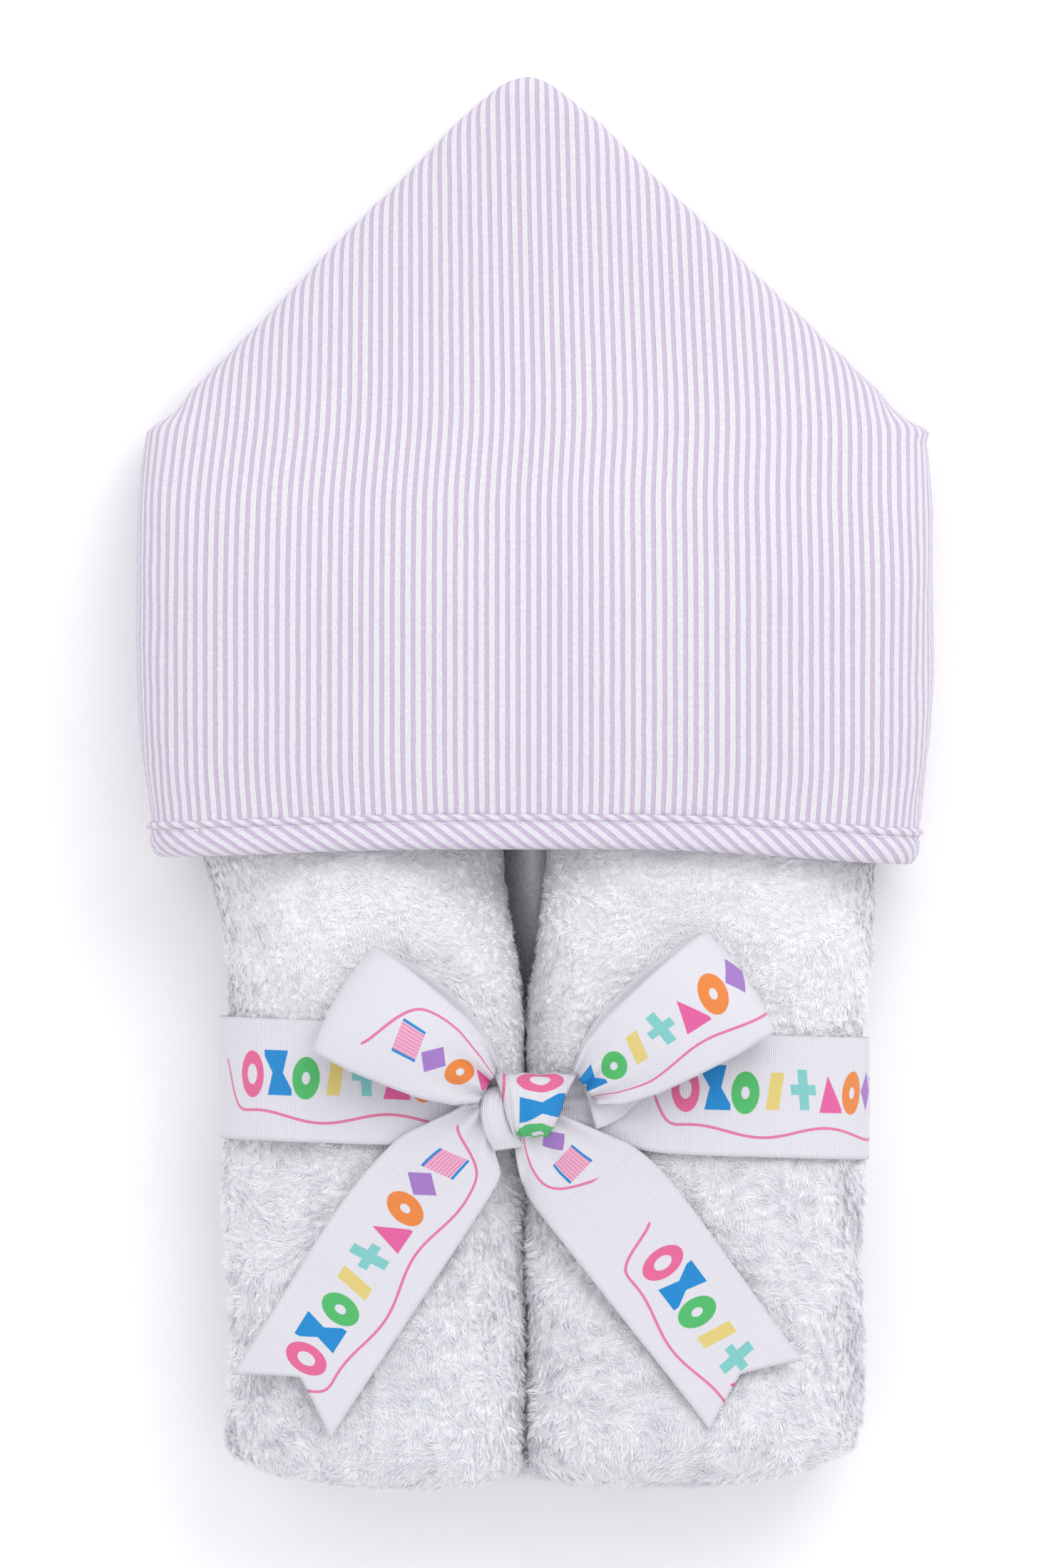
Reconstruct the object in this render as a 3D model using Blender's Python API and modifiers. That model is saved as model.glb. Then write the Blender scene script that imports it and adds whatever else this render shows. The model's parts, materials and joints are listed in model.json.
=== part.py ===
"""A hooded baby towel as it is given: folded in half, rolled from both sides to the middle, its
hood pulled over the upper ends of the rolls, and a ribbon tied round it in a bow.

The towel lies on its back. +X is to the right, +Y points to the peak of the hood, +Z is up, and the
origin is under the middle of the bundle on the surface that it lies on. All lengths are in metres.
"""

import math

import bmesh
import bpy
from mathutils import Vector

# ---- driving dimensions -------------------------------------------------------------------------
GAP = 0.0003  # clearance between pieces that touch
BUNDLE_BOTTOM_Y = -0.2185  # folded lower end of the rolls
MOUTH_Y = -0.0208  # face edge of the hood
SHOULDER_Y = 0.1115  # where the hood's straight sides turn into its 45 degree slopes
PEAK_Y = 0.2205
LINING_PEAK_Y = 0.2100  # the lining is cut short of the outer at the peak
HOOD_HALF_WIDTH = 0.1243

OUTER_THICKNESS = 0.0008  # seersucker
LINING_THICKNESS = 0.0040  # terry
CLOTH_GAP = 0.0005
BINDING_WIDTH = 0.0115
BINDING_PROUD = 0.0006  # the binding wraps the edge, so it stands proud of both layers
SEAM_THICKNESS = 0.0008
STITCH_RADIUS = 0.0004

PANEL_THICKNESS = 0.0082  # two plies of terry
PANEL_HALF_WIDTH = 0.0530
ROLL_TOP_Z = 0.0660
ROLL_LEFT_X = -0.0975  # outer sides of the rolls below the ribbon
ROLL_RIGHT_X = 0.1035
CLEFT_X = -0.0030  # where the two rolls meet

RIBBON_WIDTH = 0.0380
RIBBON_THICKNESS = 0.0005
RIBBON_LIFT = 0.0004  # how far the ribbon stands off the rolls
BAND_Y = -0.0950
BAND_SKEW = -0.0330  # the band runs this much lower for each metre to the right

KNOT_CENTRE = Vector((0.0009, -0.1000, 0.0731))
KNOT_SIZE = Vector((0.0240, 0.0210, 0.0115))

ROLL_POWER = 2.2  # exponents of the superellipse sections
FRONT_POWER = 5.0
BACK_POWER = 4.0
BACK_FLATTENING = 1.03  # the hood's back is level over the middle of its width
KNOT_POWER = 2.6
QUARTER_STEPS = 12  # straight edges in each quarter of a section

# ---- profiles along Y: (y, value) ---------------------------------------------------------------
HOOD_HALF_WIDTHS = [
    (MOUTH_Y, 0.1172),
    (-0.0090, 0.1200),
    (0.0140, 0.1232),
    (0.0350, HOOD_HALF_WIDTH),
    (0.0850, HOOD_HALF_WIDTH),
    (0.1050, 0.1224),
    (SHOULDER_Y, 0.1190),
    (0.2084, 0.0205),
    (0.2150, 0.0122),
    (0.2190, 0.0065),
    (PEAK_Y, 0.0030),
]
HOOD_MIDDLES = [(SHOULDER_Y, 0.0), (PEAK_Y, -0.0024)]
HOOD_TOPS = [
    (MOUTH_Y, 0.0705),
    (0.0200, 0.0715),
    (0.0600, 0.0680),
    (0.0850, 0.0600),
    (0.1050, 0.0460),
    (0.1300, 0.0300),
    (0.1600, 0.0190),
    (0.1900, 0.0138),
    (PEAK_Y, 0.0114),
]
HOOD_FOLD_HEIGHTS = [  # the fold at the hood's sides, between its front and its back
    (MOUTH_Y, 0.0310),
    (0.0600, 0.0290),
    (0.1050, 0.0190),
    (0.1300, 0.0125),
    (0.1600, 0.0085),
    (0.1900, 0.0066),
    (PEAK_Y, 0.0056),
]
ROLL_LEFT_SIDES = [
    (BUNDLE_BOTTOM_Y, -0.0880),
    (-0.2130, -0.0955),
    (-0.2030, ROLL_LEFT_X),
    (-0.0730, ROLL_LEFT_X),
    (-0.0500, -0.1000),
    (-0.0220, -0.1050),
    (0.0100, -0.1120),
    (0.0350, -0.1175),
    (0.0700, -0.1170),
    (0.0840, -0.1100),
    (0.0900, -0.1000),
]
ROLL_RIGHT_SIDES = [
    (BUNDLE_BOTTOM_Y, 0.0930),
    (-0.2130, 0.1010),
    (-0.2030, ROLL_RIGHT_X),
    (-0.0730, ROLL_RIGHT_X),
    (-0.0500, 0.1080),
    (-0.0220, 0.1100),
    (0.0100, 0.1130),
    (0.0350, 0.1175),
    (0.0700, 0.1170),
    (0.0840, 0.1100),
    (0.0900, 0.1000),
]
CLEFT_HALF_WIDTHS = [
    (BUNDLE_BOTTOM_Y, 0.0050),
    (-0.2130, 0.0010),
    (-0.2030, GAP),
    (-0.0760, GAP),
    (-0.0220, 0.0050),
    (0.0840, 0.0060),
    (0.0900, 0.0100),
]
ROLL_TOPS = [
    (BUNDLE_BOTTOM_Y, 0.0560),
    (-0.2130, 0.0630),
    (-0.2030, ROLL_TOP_Z),
    (-0.0360, ROLL_TOP_Z),
    (-0.0220, 0.0640),
    (0.0350, 0.0640),
    (0.0600, 0.0605),
    (0.0800, 0.0500),
    (0.0900, 0.0380),
]
PANEL_UNDERSIDES = [
    (-0.2160, 0.0030),
    (-0.2110, 0.0009),
    (-0.0300, 0.0009),
    (-0.0210, 0.0060),
    (0.0820, 0.0060),
]
HOOD_ROWS = (
    -0.0090,
    0.0140,
    0.0350,
    0.0600,
    0.0850,
    0.0960,
    0.1050,
    SHOULDER_Y,
    0.1300,
    0.1500,
    0.1750,
    0.1950,
    0.2084,
    0.2150,
    0.2190,
    PEAK_Y,
)

# ---- bow: each loop and tail is drawn along its own run, out from the knot ------------------------
LOOP_ROOT_WIDTH = 0.0140
LOOP_PATH = (  # (share of the loop's length, height over its root), lower ply out, upper ply back
    (0.00, -0.0010),
    (0.15, -0.0030),
    (0.38, -0.0037),
    (0.68, -0.0037),
    (0.90, -0.0034),
    (1.00, 0.0008),
    (0.93, 0.0075),
    (0.68, 0.0110),
    (0.38, 0.0090),
    (0.15, 0.0042),
    (0.00, 0.0010),
)
LOOPS = {  # name: (root, direction, length)
    "bow_loop_left": (Vector((-0.0134, -0.0942, 0.0720)), Vector((-0.86, 0.51, 0.0)), 0.0530),
    "bow_loop_right": (Vector((0.0146, -0.0952, 0.0720)), Vector((0.824, 0.566, 0.0)), 0.0590),
}
TAIL_PATH = (  # (share of the tail's length, height over its root, share of the full width)
    (0.00, 0.0, 0.62),
    (0.10, -0.0011, 0.84),
    (0.22, -0.0018, 1.00),
    (0.45, -0.0020, 1.00),
    (0.70, -0.0020, 1.00),
    (1.00, -0.0020, 1.00),
)
TAILS = {  # name: (root, direction, length, depth of the swallow-tail notch)
    "bow_tail_left": (Vector((-0.0219, -0.1065, 0.0695)), Vector((-0.543, -0.840, 0.0)), 0.1045, 0.0113),
    "bow_tail_right": (Vector((0.0090, -0.1115, 0.0695)), Vector((0.602, -0.798, 0.0)), 0.0990, 0.0085),
}

# ---- colours ------------------------------------------------------------------------------------
TERRY_WHITE = (0.84, 0.85, 0.88)
SEERSUCKER_LILAC = (0.77, 0.71, 0.82)
THREAD_WHITE = (0.90, 0.90, 0.93)
RIBBON_WHITE = (0.82, 0.81, 0.86)


# ---- modelling helpers --------------------------------------------------------------------------


def clear_scene():
    for thing in list(bpy.data.objects):
        bpy.data.objects.remove(thing, do_unlink=True)


def new_collection(name):
    made = bpy.data.collections.new(name)
    bpy.context.scene.collection.children.link(made)
    return made


def new_material(name, colour, roughness):
    made = bpy.data.materials.new(name)
    made.use_nodes = True
    shader = made.node_tree.nodes["Principled BSDF"]
    shader.inputs["Base Color"].default_value = (*colour, 1.0)
    shader.inputs["Roughness"].default_value = roughness
    shader.inputs["Metallic"].default_value = 0.0
    return made


def add_object(collection, name, data, finish, origin=None):
    """A piece with its material. A moving piece has its origin on its joint's axis."""
    thing = bpy.data.objects.new(name, data)
    data.materials.append(finish)
    collection.objects.link(thing)
    thing.location = origin or Vector()
    return thing


def value_at(profile, y):
    """Straight-line interpolation in a profile, level past its ends."""
    if y <= profile[0][0]:
        return profile[0][1]
    for (y0, v0), (y1, v1) in zip(profile, profile[1:]):
        if y <= y1:
            return v0 + (v1 - v0) * (y - y0) / (y1 - y0)
    return profile[-1][1]


def stretch(profile, y):
    """How much longer the surface is than its run along Y, where the profile slopes."""
    reach = 0.002
    slope = (value_at(profile, y + reach) - value_at(profile, y - reach)) / (2 * reach)
    return math.hypot(1.0, slope)


def rounded(value, exponent):
    """One coordinate of a superellipse, from the sine or cosine of its angle."""
    return math.copysign(abs(value) ** (2.0 / exponent), value)


def mesh_from(name, points, faces):
    mesh = bpy.data.meshes.new(name)
    mesh.from_pydata([tuple(p) for p in points], [], faces)
    work = bmesh.new()
    work.from_mesh(mesh)
    bmesh.ops.recalc_face_normals(work, faces=work.faces)
    work.to_mesh(mesh)
    work.free()
    mesh.shade_smooth()
    return mesh


def grid_faces(rows, columns, first=0, closed=False):
    faces = []
    for r in range(rows - 1):
        for i in range(columns if closed else columns - 1):
            j = (i + 1) % columns
            low = first + r * columns
            high = low + columns
            faces.append((low + i, low + j, high + j, high + i))
    return faces


def loft(collection, name, sections, finish):
    """A closed solid through closed sections that all have the same number of points."""
    count = len(sections[0])
    last = (len(sections) - 1) * count
    faces = grid_faces(len(sections), count, closed=True)
    faces.append(tuple(range(count)))
    faces.append(tuple(range(last, last + count)))
    points = [p for section in sections for p in section]
    return add_object(collection, name, mesh_from(name, points, faces), finish)


def layer(collection, name, outer, inner, finish, origin=None):
    """A closed layer of thick cloth between two surfaces with the same rows and columns."""
    rows, columns = len(outer), len(outer[0])
    size = rows * columns
    faces = grid_faces(rows, columns) + grid_faces(rows, columns, first=size)
    left = [r * columns for r in range(rows)]
    right = [r * columns + columns - 1 for r in range(rows)]
    low = list(range(columns))
    high = list(range(size - columns, size))
    for edge in (left, right, low, high):
        faces += [(a, b, size + b, size + a) for a, b in zip(edge, edge[1:])]
    base = origin or Vector()
    points = [Vector(p) - base for surface in (outer, inner) for row in surface for p in row]
    return add_object(collection, name, mesh_from(name, points, faces), finish, origin)


def strip(collection, name, rows, thickness, finish, closed=False, origin=None):
    """Thin cloth or ribbon: an open surface through rows of points, made solid by Solidify."""
    base = origin or Vector()
    points = [Vector(p) - base for row in rows for p in row]
    mesh = mesh_from(name, points, grid_faces(len(rows), len(rows[0]), closed=closed))
    thing = add_object(collection, name, mesh, finish, origin)
    solid = thing.modifiers.new("thickness", "SOLIDIFY")
    solid.thickness = thickness
    solid.offset = 0.0
    solid.use_even_offset = True
    return thing


def smooth_path(points, steps):
    """Catmull-Rom curve through the points, with steps between each pair."""
    padded = [points[0]] + list(points) + [points[-1]]
    path = []
    for before, start, end, after in zip(padded, padded[1:], padded[2:], padded[3:]):
        for i in range(steps):
            t = i / steps
            place = []
            for a, b, c, d in zip(before, start, end, after):
                bend = (2 * a - 5 * b + 4 * c - d) * t * t + (3 * b - a - 3 * c + d) * t**3
                place.append(0.5 * (2 * b + (c - a) * t + bend))
            path.append(tuple(place))
    return path + [tuple(points[-1])]


# ---- towel body ---------------------------------------------------------------------------------


def roll_extent(side, y):
    """(inner x, outer x, bottom z, top z) of a roll at y; side is -1 for the left roll."""
    inner = CLEFT_X + side * value_at(CLEFT_HALF_WIDTHS, y)
    outer = value_at(ROLL_LEFT_SIDES if side < 0 else ROLL_RIGHT_SIDES, y)
    top = value_at(ROLL_TOPS, y)
    panel_top = value_at(PANEL_UNDERSIDES, y) + PANEL_THICKNESS
    rounding = 0.25 * (ROLL_TOP_Z - top)
    return inner, outer, panel_top + GAP + rounding, top


def roll_section(side, y):
    inner, outer, bottom, top = roll_extent(side, y)
    steps = 32
    points = []
    for i in range(steps):
        angle = 2 * math.pi * i / steps
        across = abs(outer - inner) / 2 * rounded(math.cos(angle), ROLL_POWER)
        rise = (top - bottom) / 2 * rounded(math.sin(angle), ROLL_POWER)
        points.append(((inner + outer) / 2 + across, y, (bottom + top) / 2 + rise))
    return points


def panel_section(y, underside, end):
    """Flat panel with chamfered edges, thinner at its folded lower end."""
    chamfer = 0.0030
    middle = 0.0010
    top = underside + PANEL_THICKNESS - (chamfer if end else 0.0)
    half = PANEL_HALF_WIDTH
    outline = (
        (-half, underside + chamfer),
        (chamfer - half, underside),
        (half - chamfer, underside),
        (half, underside + chamfer),
        (half, top - chamfer),
        (half - chamfer, top),
        (chamfer - half, top),
        (-half, top - chamfer),
    )
    return [(middle + x, y, z) for x, z in outline]


def build_towel(collection, terry):
    stations = sorted({y for y, _ in ROLL_LEFT_SIDES} | {y for y, _ in ROLL_TOPS})
    for name, side in (("towel_left_roll", -1), ("towel_right_roll", 1)):
        loft(collection, name, [roll_section(side, y) for y in stations], terry)
    end_y = PANEL_UNDERSIDES[0][0]
    sections = [panel_section(y, z, y == end_y) for y, z in PANEL_UNDERSIDES]
    loft(collection, "towel_back_panel", sections, terry)


# ---- hood ---------------------------------------------------------------------------------------

# The front of the hood opens about a line across its peak, just past its last row.
HOOD_HINGE = Vector((0.0, PEAK_Y + 0.0008, value_at(HOOD_FOLD_HEIGHTS, PEAK_Y)))


def hood_point(y, turn, depth, front):
    """A point of the hood, depth below its outer skin. turn goes from 0 at the right side fold to
    1 at the left side fold, over the front or under the back, which lies flat."""
    angle = math.pi * turn
    exponent = FRONT_POWER if front else BACK_POWER
    half = value_at(HOOD_HALF_WIDTHS, y) - depth * stretch(HOOD_HALF_WIDTHS, y)
    x = value_at(HOOD_MIDDLES, y) + half * rounded(math.cos(angle), exponent)
    away = rounded(math.sin(angle), exponent)
    fold = value_at(HOOD_FOLD_HEIGHTS, y)
    if front:
        base = fold + GAP / 2
        crown = value_at(HOOD_TOPS, y) - depth * stretch(HOOD_TOPS, y)
    else:
        base = fold - GAP / 2
        crown = depth
        away = min(1.0, BACK_FLATTENING * away)
    return (x, y, base + (crown - base) * away)


def hood_surface(depth, front, ys, first_turn=0.0, last_turn=1.0, steps=2 * QUARTER_STEPS):
    turns = [first_turn + (last_turn - first_turn) * i / steps for i in range(steps + 1)]
    return [[hood_point(y, turn, depth, front) for turn in turns] for y in ys]


def build_hood(collection, seersucker, terry):
    """Outer and lining, each one cloth folded at the sides, so that it has a front and a back."""
    lining_depth = OUTER_THICKNESS + CLOTH_GAP
    layers = (
        ("outer", 0.0, OUTER_THICKNESS, PEAK_Y, seersucker),
        ("lining", lining_depth, lining_depth + LINING_THICKNESS, LINING_PEAK_Y, terry),
    )
    for cloth_name, shallow, deep, peak, finish in layers:
        ys = [y for y in HOOD_ROWS if y < peak - 0.001] + [peak]
        for half, front, origin in (("front", True, HOOD_HINGE), ("back", False, None)):
            outer = hood_surface(shallow, front, ys)
            inner = hood_surface(deep, front, ys)
            layer(collection, f"hood_{cloth_name}_{half}", outer, inner, finish, origin)


def build_binding(collection, seersucker, thread):
    """The bias strip that wraps the face edge, its drooping ends, and its line of top stitching."""
    shallow = -BINDING_PROUD
    deep = OUTER_THICKNESS + CLOTH_GAP + LINING_THICKNESS + GAP
    ys = [MOUTH_Y, MOUTH_Y + BINDING_WIDTH / 2, MOUTH_Y + BINDING_WIDTH]
    outer = hood_surface(shallow, True, ys)
    inner = hood_surface(deep, True, ys)
    layer(collection, "hood_binding", outer, inner, seersucker, HOOD_HINGE)
    end_turn = 0.20
    end_steps = 6
    for name, first in (("binding_right_end", 0.0), ("binding_left_end", 1.0 - end_turn)):
        outer = hood_surface(shallow, False, ys, first, first + end_turn, end_steps)
        inner = hood_surface(deep, False, ys, first, first + end_turn, end_steps)
        layer(collection, name, outer, inner, seersucker)

    stitch_y = MOUTH_Y + 0.0085
    stitch_depth = shallow - GAP - STITCH_RADIUS
    route = hood_surface(stitch_depth, True, [stitch_y], 0.02, 0.98)[0]
    curve = bpy.data.curves.new("binding_topstitch", "CURVE")
    curve.dimensions = "3D"
    curve.bevel_depth = STITCH_RADIUS
    curve.bevel_resolution = 1
    curve.use_fill_caps = True
    spline = curve.splines.new("POLY")
    spline.points.add(len(route) - 1)
    for point, place in zip(spline.points, route):
        point.co = (*(Vector(place) - HOOD_HINGE), 1.0)
    add_object(collection, "binding_topstitch", curve, thread, HOOD_HINGE)


def build_seams(collection, terry, thread):
    """The neck seam, a welt between the hood's back and the towel, and the hood's back seam."""
    half_width = 0.0840
    welt = 0.0044
    height = BINDING_PROUD + welt / 2
    rows = []
    for y in (MOUTH_Y + 0.0010, MOUTH_Y + BINDING_WIDTH):
        rows.append([(x, y, height) for x in (-half_width, 0.0, half_width)])
    strip(collection, "neck_seam", rows, welt, terry)

    seam_half_width = 0.0050
    height = OUTER_THICKNESS + CLOTH_GAP + LINING_THICKNESS + GAP + SEAM_THICKNESS / 2
    rows = []
    for y in (y for y in HOOD_ROWS if 0.0950 < y < 0.1510):
        rows.append([(x, y, height) for x in (-seam_half_width, seam_half_width)])
    strip(collection, "hood_back_seam", rows, SEAM_THICKNESS, thread)


# ---- ribbon -------------------------------------------------------------------------------------


def band_outline():
    """(x, z) points round the bundle: up its right side, over the top and down its left side."""
    lift = RIBBON_LIFT + RIBBON_THICKNESS / 2
    angles = [math.pi / 2 * i / QUARTER_STEPS for i in range(QUARTER_STEPS + 1)]
    outline = []
    for side in (1, -1):
        inner, outer, bottom, top = roll_extent(side, BAND_Y)
        half = abs(outer - inner) / 2 + lift
        middle = (bottom + top) / 2
        arc = []
        for angle in reversed(angles):
            across = side * half * rounded(math.cos(angle), ROLL_POWER)
            drop = (middle - RIBBON_THICKNESS / 2) * rounded(math.sin(angle), ROLL_POWER)
            arc.append(((inner + outer) / 2 + across, middle - drop))
        for angle in angles[1:]:
            across = side * half * rounded(math.cos(angle), ROLL_POWER)
            rise = (top + lift - middle) * rounded(math.sin(angle), ROLL_POWER)
            arc.append(((inner + outer) / 2 + across, middle + rise))
        outline += arc if side > 0 else arc[::-1]
    return outline


def build_band(collection, grosgrain):
    rows = []
    for share in (-0.5, 0.0, 0.5):
        row = []
        for x, z in band_outline():
            row.append((x, BAND_Y + BAND_SKEW * x + share * RIBBON_WIDTH, z))
        rows.append(row)
    strip(collection, "ribbon_band", rows, RIBBON_THICKNESS, grosgrain, closed=True)


def build_knot(collection, grosgrain):
    work = bmesh.new()
    bmesh.ops.create_uvsphere(work, u_segments=20, v_segments=12, radius=1.0)
    for vertex in work.verts:
        for axis in range(3):
            reach = rounded(vertex.co[axis], KNOT_POWER)
            vertex.co[axis] = reach * KNOT_SIZE[axis] / 2
    mesh = bpy.data.meshes.new("ribbon_knot")
    work.to_mesh(mesh)
    work.free()
    mesh.shade_smooth()
    add_object(collection, "ribbon_knot", mesh, grosgrain, KNOT_CENTRE)


def build_loops(collection, grosgrain):
    """Each loop is the ribbon going out from the knot, folding back and returning over itself."""
    path = smooth_path(LOOP_PATH, 3)
    for name, (root, direction, length) in LOOPS.items():
        along = direction.normalized()
        across = Vector((-along.y, along.x, 0.0))
        rows = []
        for share, height in path:
            spread = min(1.0, max(0.0, share / 0.55))
            spread = spread * spread * (3 - 2 * spread)
            half = (LOOP_ROOT_WIDTH + (RIBBON_WIDTH - LOOP_ROOT_WIDTH) * spread) / 2
            middle = root + along * (share * length) + Vector((0.0, 0.0, height))
            rows.append([middle - across * half, middle, middle + across * half])
        strip(collection, name, rows, RIBBON_THICKNESS, grosgrain, origin=root)


def build_tails(collection, grosgrain):
    """Each tail lies over a roll and ends in a swallow-tail notch."""
    for name, (root, direction, length, notch) in TAILS.items():
        along = direction.normalized()
        across = Vector((-along.y, along.x, 0.0))
        rows = []
        for share, height, width in TAIL_PATH:
            half = width * RIBBON_WIDTH / 2
            edge = root + along * (share * length) + Vector((0.0, 0.0, height))
            middle = edge - along * (notch if share == 1.0 else 0.0)
            rows.append([edge - across * half, middle, edge + across * half])
        strip(collection, name, rows, RIBBON_THICKNESS, grosgrain, origin=root)


def build():
    clear_scene()
    collection = new_collection("hooded_baby_towel")
    terry = new_material("terry", TERRY_WHITE, 0.95)
    seersucker = new_material("seersucker", SEERSUCKER_LILAC, 0.85)
    thread = new_material("thread", THREAD_WHITE, 0.70)
    grosgrain = new_material("grosgrain", RIBBON_WHITE, 0.55)
    build_towel(collection, terry)
    build_hood(collection, seersucker, terry)
    build_binding(collection, seersucker, thread)
    build_seams(collection, terry, thread)
    build_band(collection, grosgrain)
    build_knot(collection, grosgrain)
    build_loops(collection, grosgrain)
    build_tails(collection, grosgrain)


build()
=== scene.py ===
"""Looks of the hooded baby towel: terry cloth rolled from both sides to the middle, a hood of
striped seersucker with a bias binding, and a printed grosgrain ribbon tied round it in a bow.

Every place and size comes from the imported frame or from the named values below, in metres.
"""

import json
import math

import bpy
import numpy as np
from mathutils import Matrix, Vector


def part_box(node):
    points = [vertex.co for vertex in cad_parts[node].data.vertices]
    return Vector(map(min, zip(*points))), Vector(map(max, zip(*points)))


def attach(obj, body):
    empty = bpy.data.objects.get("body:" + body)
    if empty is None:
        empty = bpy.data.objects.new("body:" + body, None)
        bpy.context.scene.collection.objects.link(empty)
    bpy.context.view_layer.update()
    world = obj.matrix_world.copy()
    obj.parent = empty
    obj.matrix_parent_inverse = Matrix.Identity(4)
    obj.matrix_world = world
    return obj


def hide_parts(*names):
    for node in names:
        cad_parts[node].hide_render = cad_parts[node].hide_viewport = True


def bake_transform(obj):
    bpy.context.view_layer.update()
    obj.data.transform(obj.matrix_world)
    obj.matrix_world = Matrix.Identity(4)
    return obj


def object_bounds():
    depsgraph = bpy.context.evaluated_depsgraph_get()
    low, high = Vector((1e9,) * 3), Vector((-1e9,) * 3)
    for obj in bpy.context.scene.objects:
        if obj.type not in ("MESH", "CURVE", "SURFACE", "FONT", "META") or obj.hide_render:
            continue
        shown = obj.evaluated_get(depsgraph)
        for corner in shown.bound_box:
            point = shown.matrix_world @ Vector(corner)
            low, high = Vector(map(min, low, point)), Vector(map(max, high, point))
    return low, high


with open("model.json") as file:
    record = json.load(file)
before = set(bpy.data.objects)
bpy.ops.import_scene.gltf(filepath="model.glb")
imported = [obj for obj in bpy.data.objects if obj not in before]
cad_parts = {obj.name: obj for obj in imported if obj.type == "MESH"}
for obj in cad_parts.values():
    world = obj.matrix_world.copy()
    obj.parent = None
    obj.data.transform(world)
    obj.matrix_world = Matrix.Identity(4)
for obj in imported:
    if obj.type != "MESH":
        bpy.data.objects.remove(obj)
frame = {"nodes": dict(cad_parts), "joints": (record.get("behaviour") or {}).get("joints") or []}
cad_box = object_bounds()
joints = {joint["name"]: joint for joint in frame["joints"]}

MM = 1000.0  # millimetres in a metre

# ---- towel ----
PLY = 0.00345  # thickness of one ply of terry
FOLD_RADIUS = 0.0036  # outside of the fold that joins the two plies at the lower end
FOLD_QUARTER = math.pi * FOLD_RADIUS / 2  # length of cloth in half of that fold
LAP_PITCH = 0.0074  # how much further in each turn of a roll lies
ROLL_TURNS = 3.3
SHOWN_TURN = 5.4  # radians from the flat part: beyond it a roll's cloth only shows at its end
ROLL_POWER = 2.3  # of a roll's section: 2 is an oval, and more is squarer
PILE_ROOM = 0.0012  # the ground cloth lies this far under the tips of the pile
GIRTH_W = 0.11  # the way round a roll is measured this far from its lower end
MOUTH_DIP = 0.0024  # the rolls are pressed down where they leave the hood
CLEFT_POWER = 4.4  # the rolls are squarer where they press against each other
CLEFT_OPENS_Y = -0.078  # the cleft between the rolls opens from here to the hood
CLEFT_RIDGE = 0.021  # the cloth between the rolls stands up this far where the cleft is open
STRAND_LENGTH = 0.0025
STRAND_RADIUS = 0.00017
TUFT_STRANDS = 11  # strands of pile drawn together in one tuft
TUFT_REACH = 0.00060  # about how far from the middle of its tuft a strand starts
TOP_TUFTS = 4500  # on the top of each roll, in each of its two layers
OUTSIDE_TUFTS = 1500  # on the outer side of each roll
CLEFT_TUFTS = 1100  # on the side beside the cleft
END_TUFTS = 1900  # on the laps at the lower end
IN_HOOD_TUFTS = 2600
LINING_TUFTS = 4500

# ---- hood ----
FRONT_POWER = 4.6  # of the hood's section, over its front
PEAK_POWER = 2.9  # the hood's sides are rounder where its edges slope to the peak
PEAK_TIP_Y = 0.2213
PEAK_ROUND_Y = 0.2150  # the two slopes turn into each other from here
BACK_POWER = 4.0  # and under its back
SHOULDER_Y = 0.1097  # a folded corner stands out on each side here
SHOULDER_DIP_Y = 0.1165  # and the outline draws in beyond it
BACK_FLATTENING = 1.03  # the back is pressed flat on what it lies on
OUTER_CLOTH = 0.0008  # thickness
LINING_CLOTH = 0.0040  # thickness
CLOTH_GAP = 0.0005  # between the outer cloth and the lining
STRIPE_REPEAT = 0.00325
STRIPE_SHARE = 0.41  # lilac share of a repeat
BIAS_DEGREES = 39.0  # between the binding and its stripes
HOOD_GIRTH_Y = 0.04  # the way round the hood is measured here
LEFT_DROOP = 0.0030  # how far the ends of the face edge hang below its middle
RIGHT_DROOP = 0.0055
BINDING_STEP = 0.0010  # between its points along its length
STRIP_MIDDLE = 0.0050  # the binding's length is measured this far above the face edge
STRIP_ABOVE = 0.0045  # its flat part is this far above the face edge, then come
DITCH_ABOVE = 0.0084  # the ditch with the stitches
RIDGE_ABOVE = 0.0099  # and the puckered ridge
BINDING_CLOTH = 0.0005  # thickness

# ---- ribbon ----
RIBBON_WIDTH = 0.038
RIBBON_THICKNESS = 0.00045
RIB_PITCH = 0.00062  # from one rib of the grosgrain to the next
UNPRINTED = 1.0  # added to the place across the ribbon on its back, where no print reaches
MOTIF_PITCH = 0.0093  # from one printed shape to the next
PRINT_REPEAT = 0.1365  # the row of shapes, then a plain length
LINE_LEAD = 8.5  # millimetres: the thin line starts this far before the row of shapes
RIBBON_STEP = 0.0016  # between its points along its length
BAND_PRINT_START = (0.0464, 0.070)  # (x, z) on the band, where its printed row starts
TUCK_AT = 0.0245  # how far from the knot a length of a tail is folded away
TUCK_SHARE = 0.0004  # the print jumps over the tuck within this share of the tail's length
TAIL_CLEARANCE = 0.0019  # over the rolls, for the tips of their pile

# ---- colours, as linear light ----


def srgb(red, green, blue):
    """Linear colour of an sRGB colour given from 0 to 255."""
    linear = []
    for level in (red, green, blue):
        share = level / 255
        linear.append(share / 12.92 if share <= 0.04045 else ((share + 0.055) / 1.055) ** 2.4)
    return (*linear, 1.0)


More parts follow.
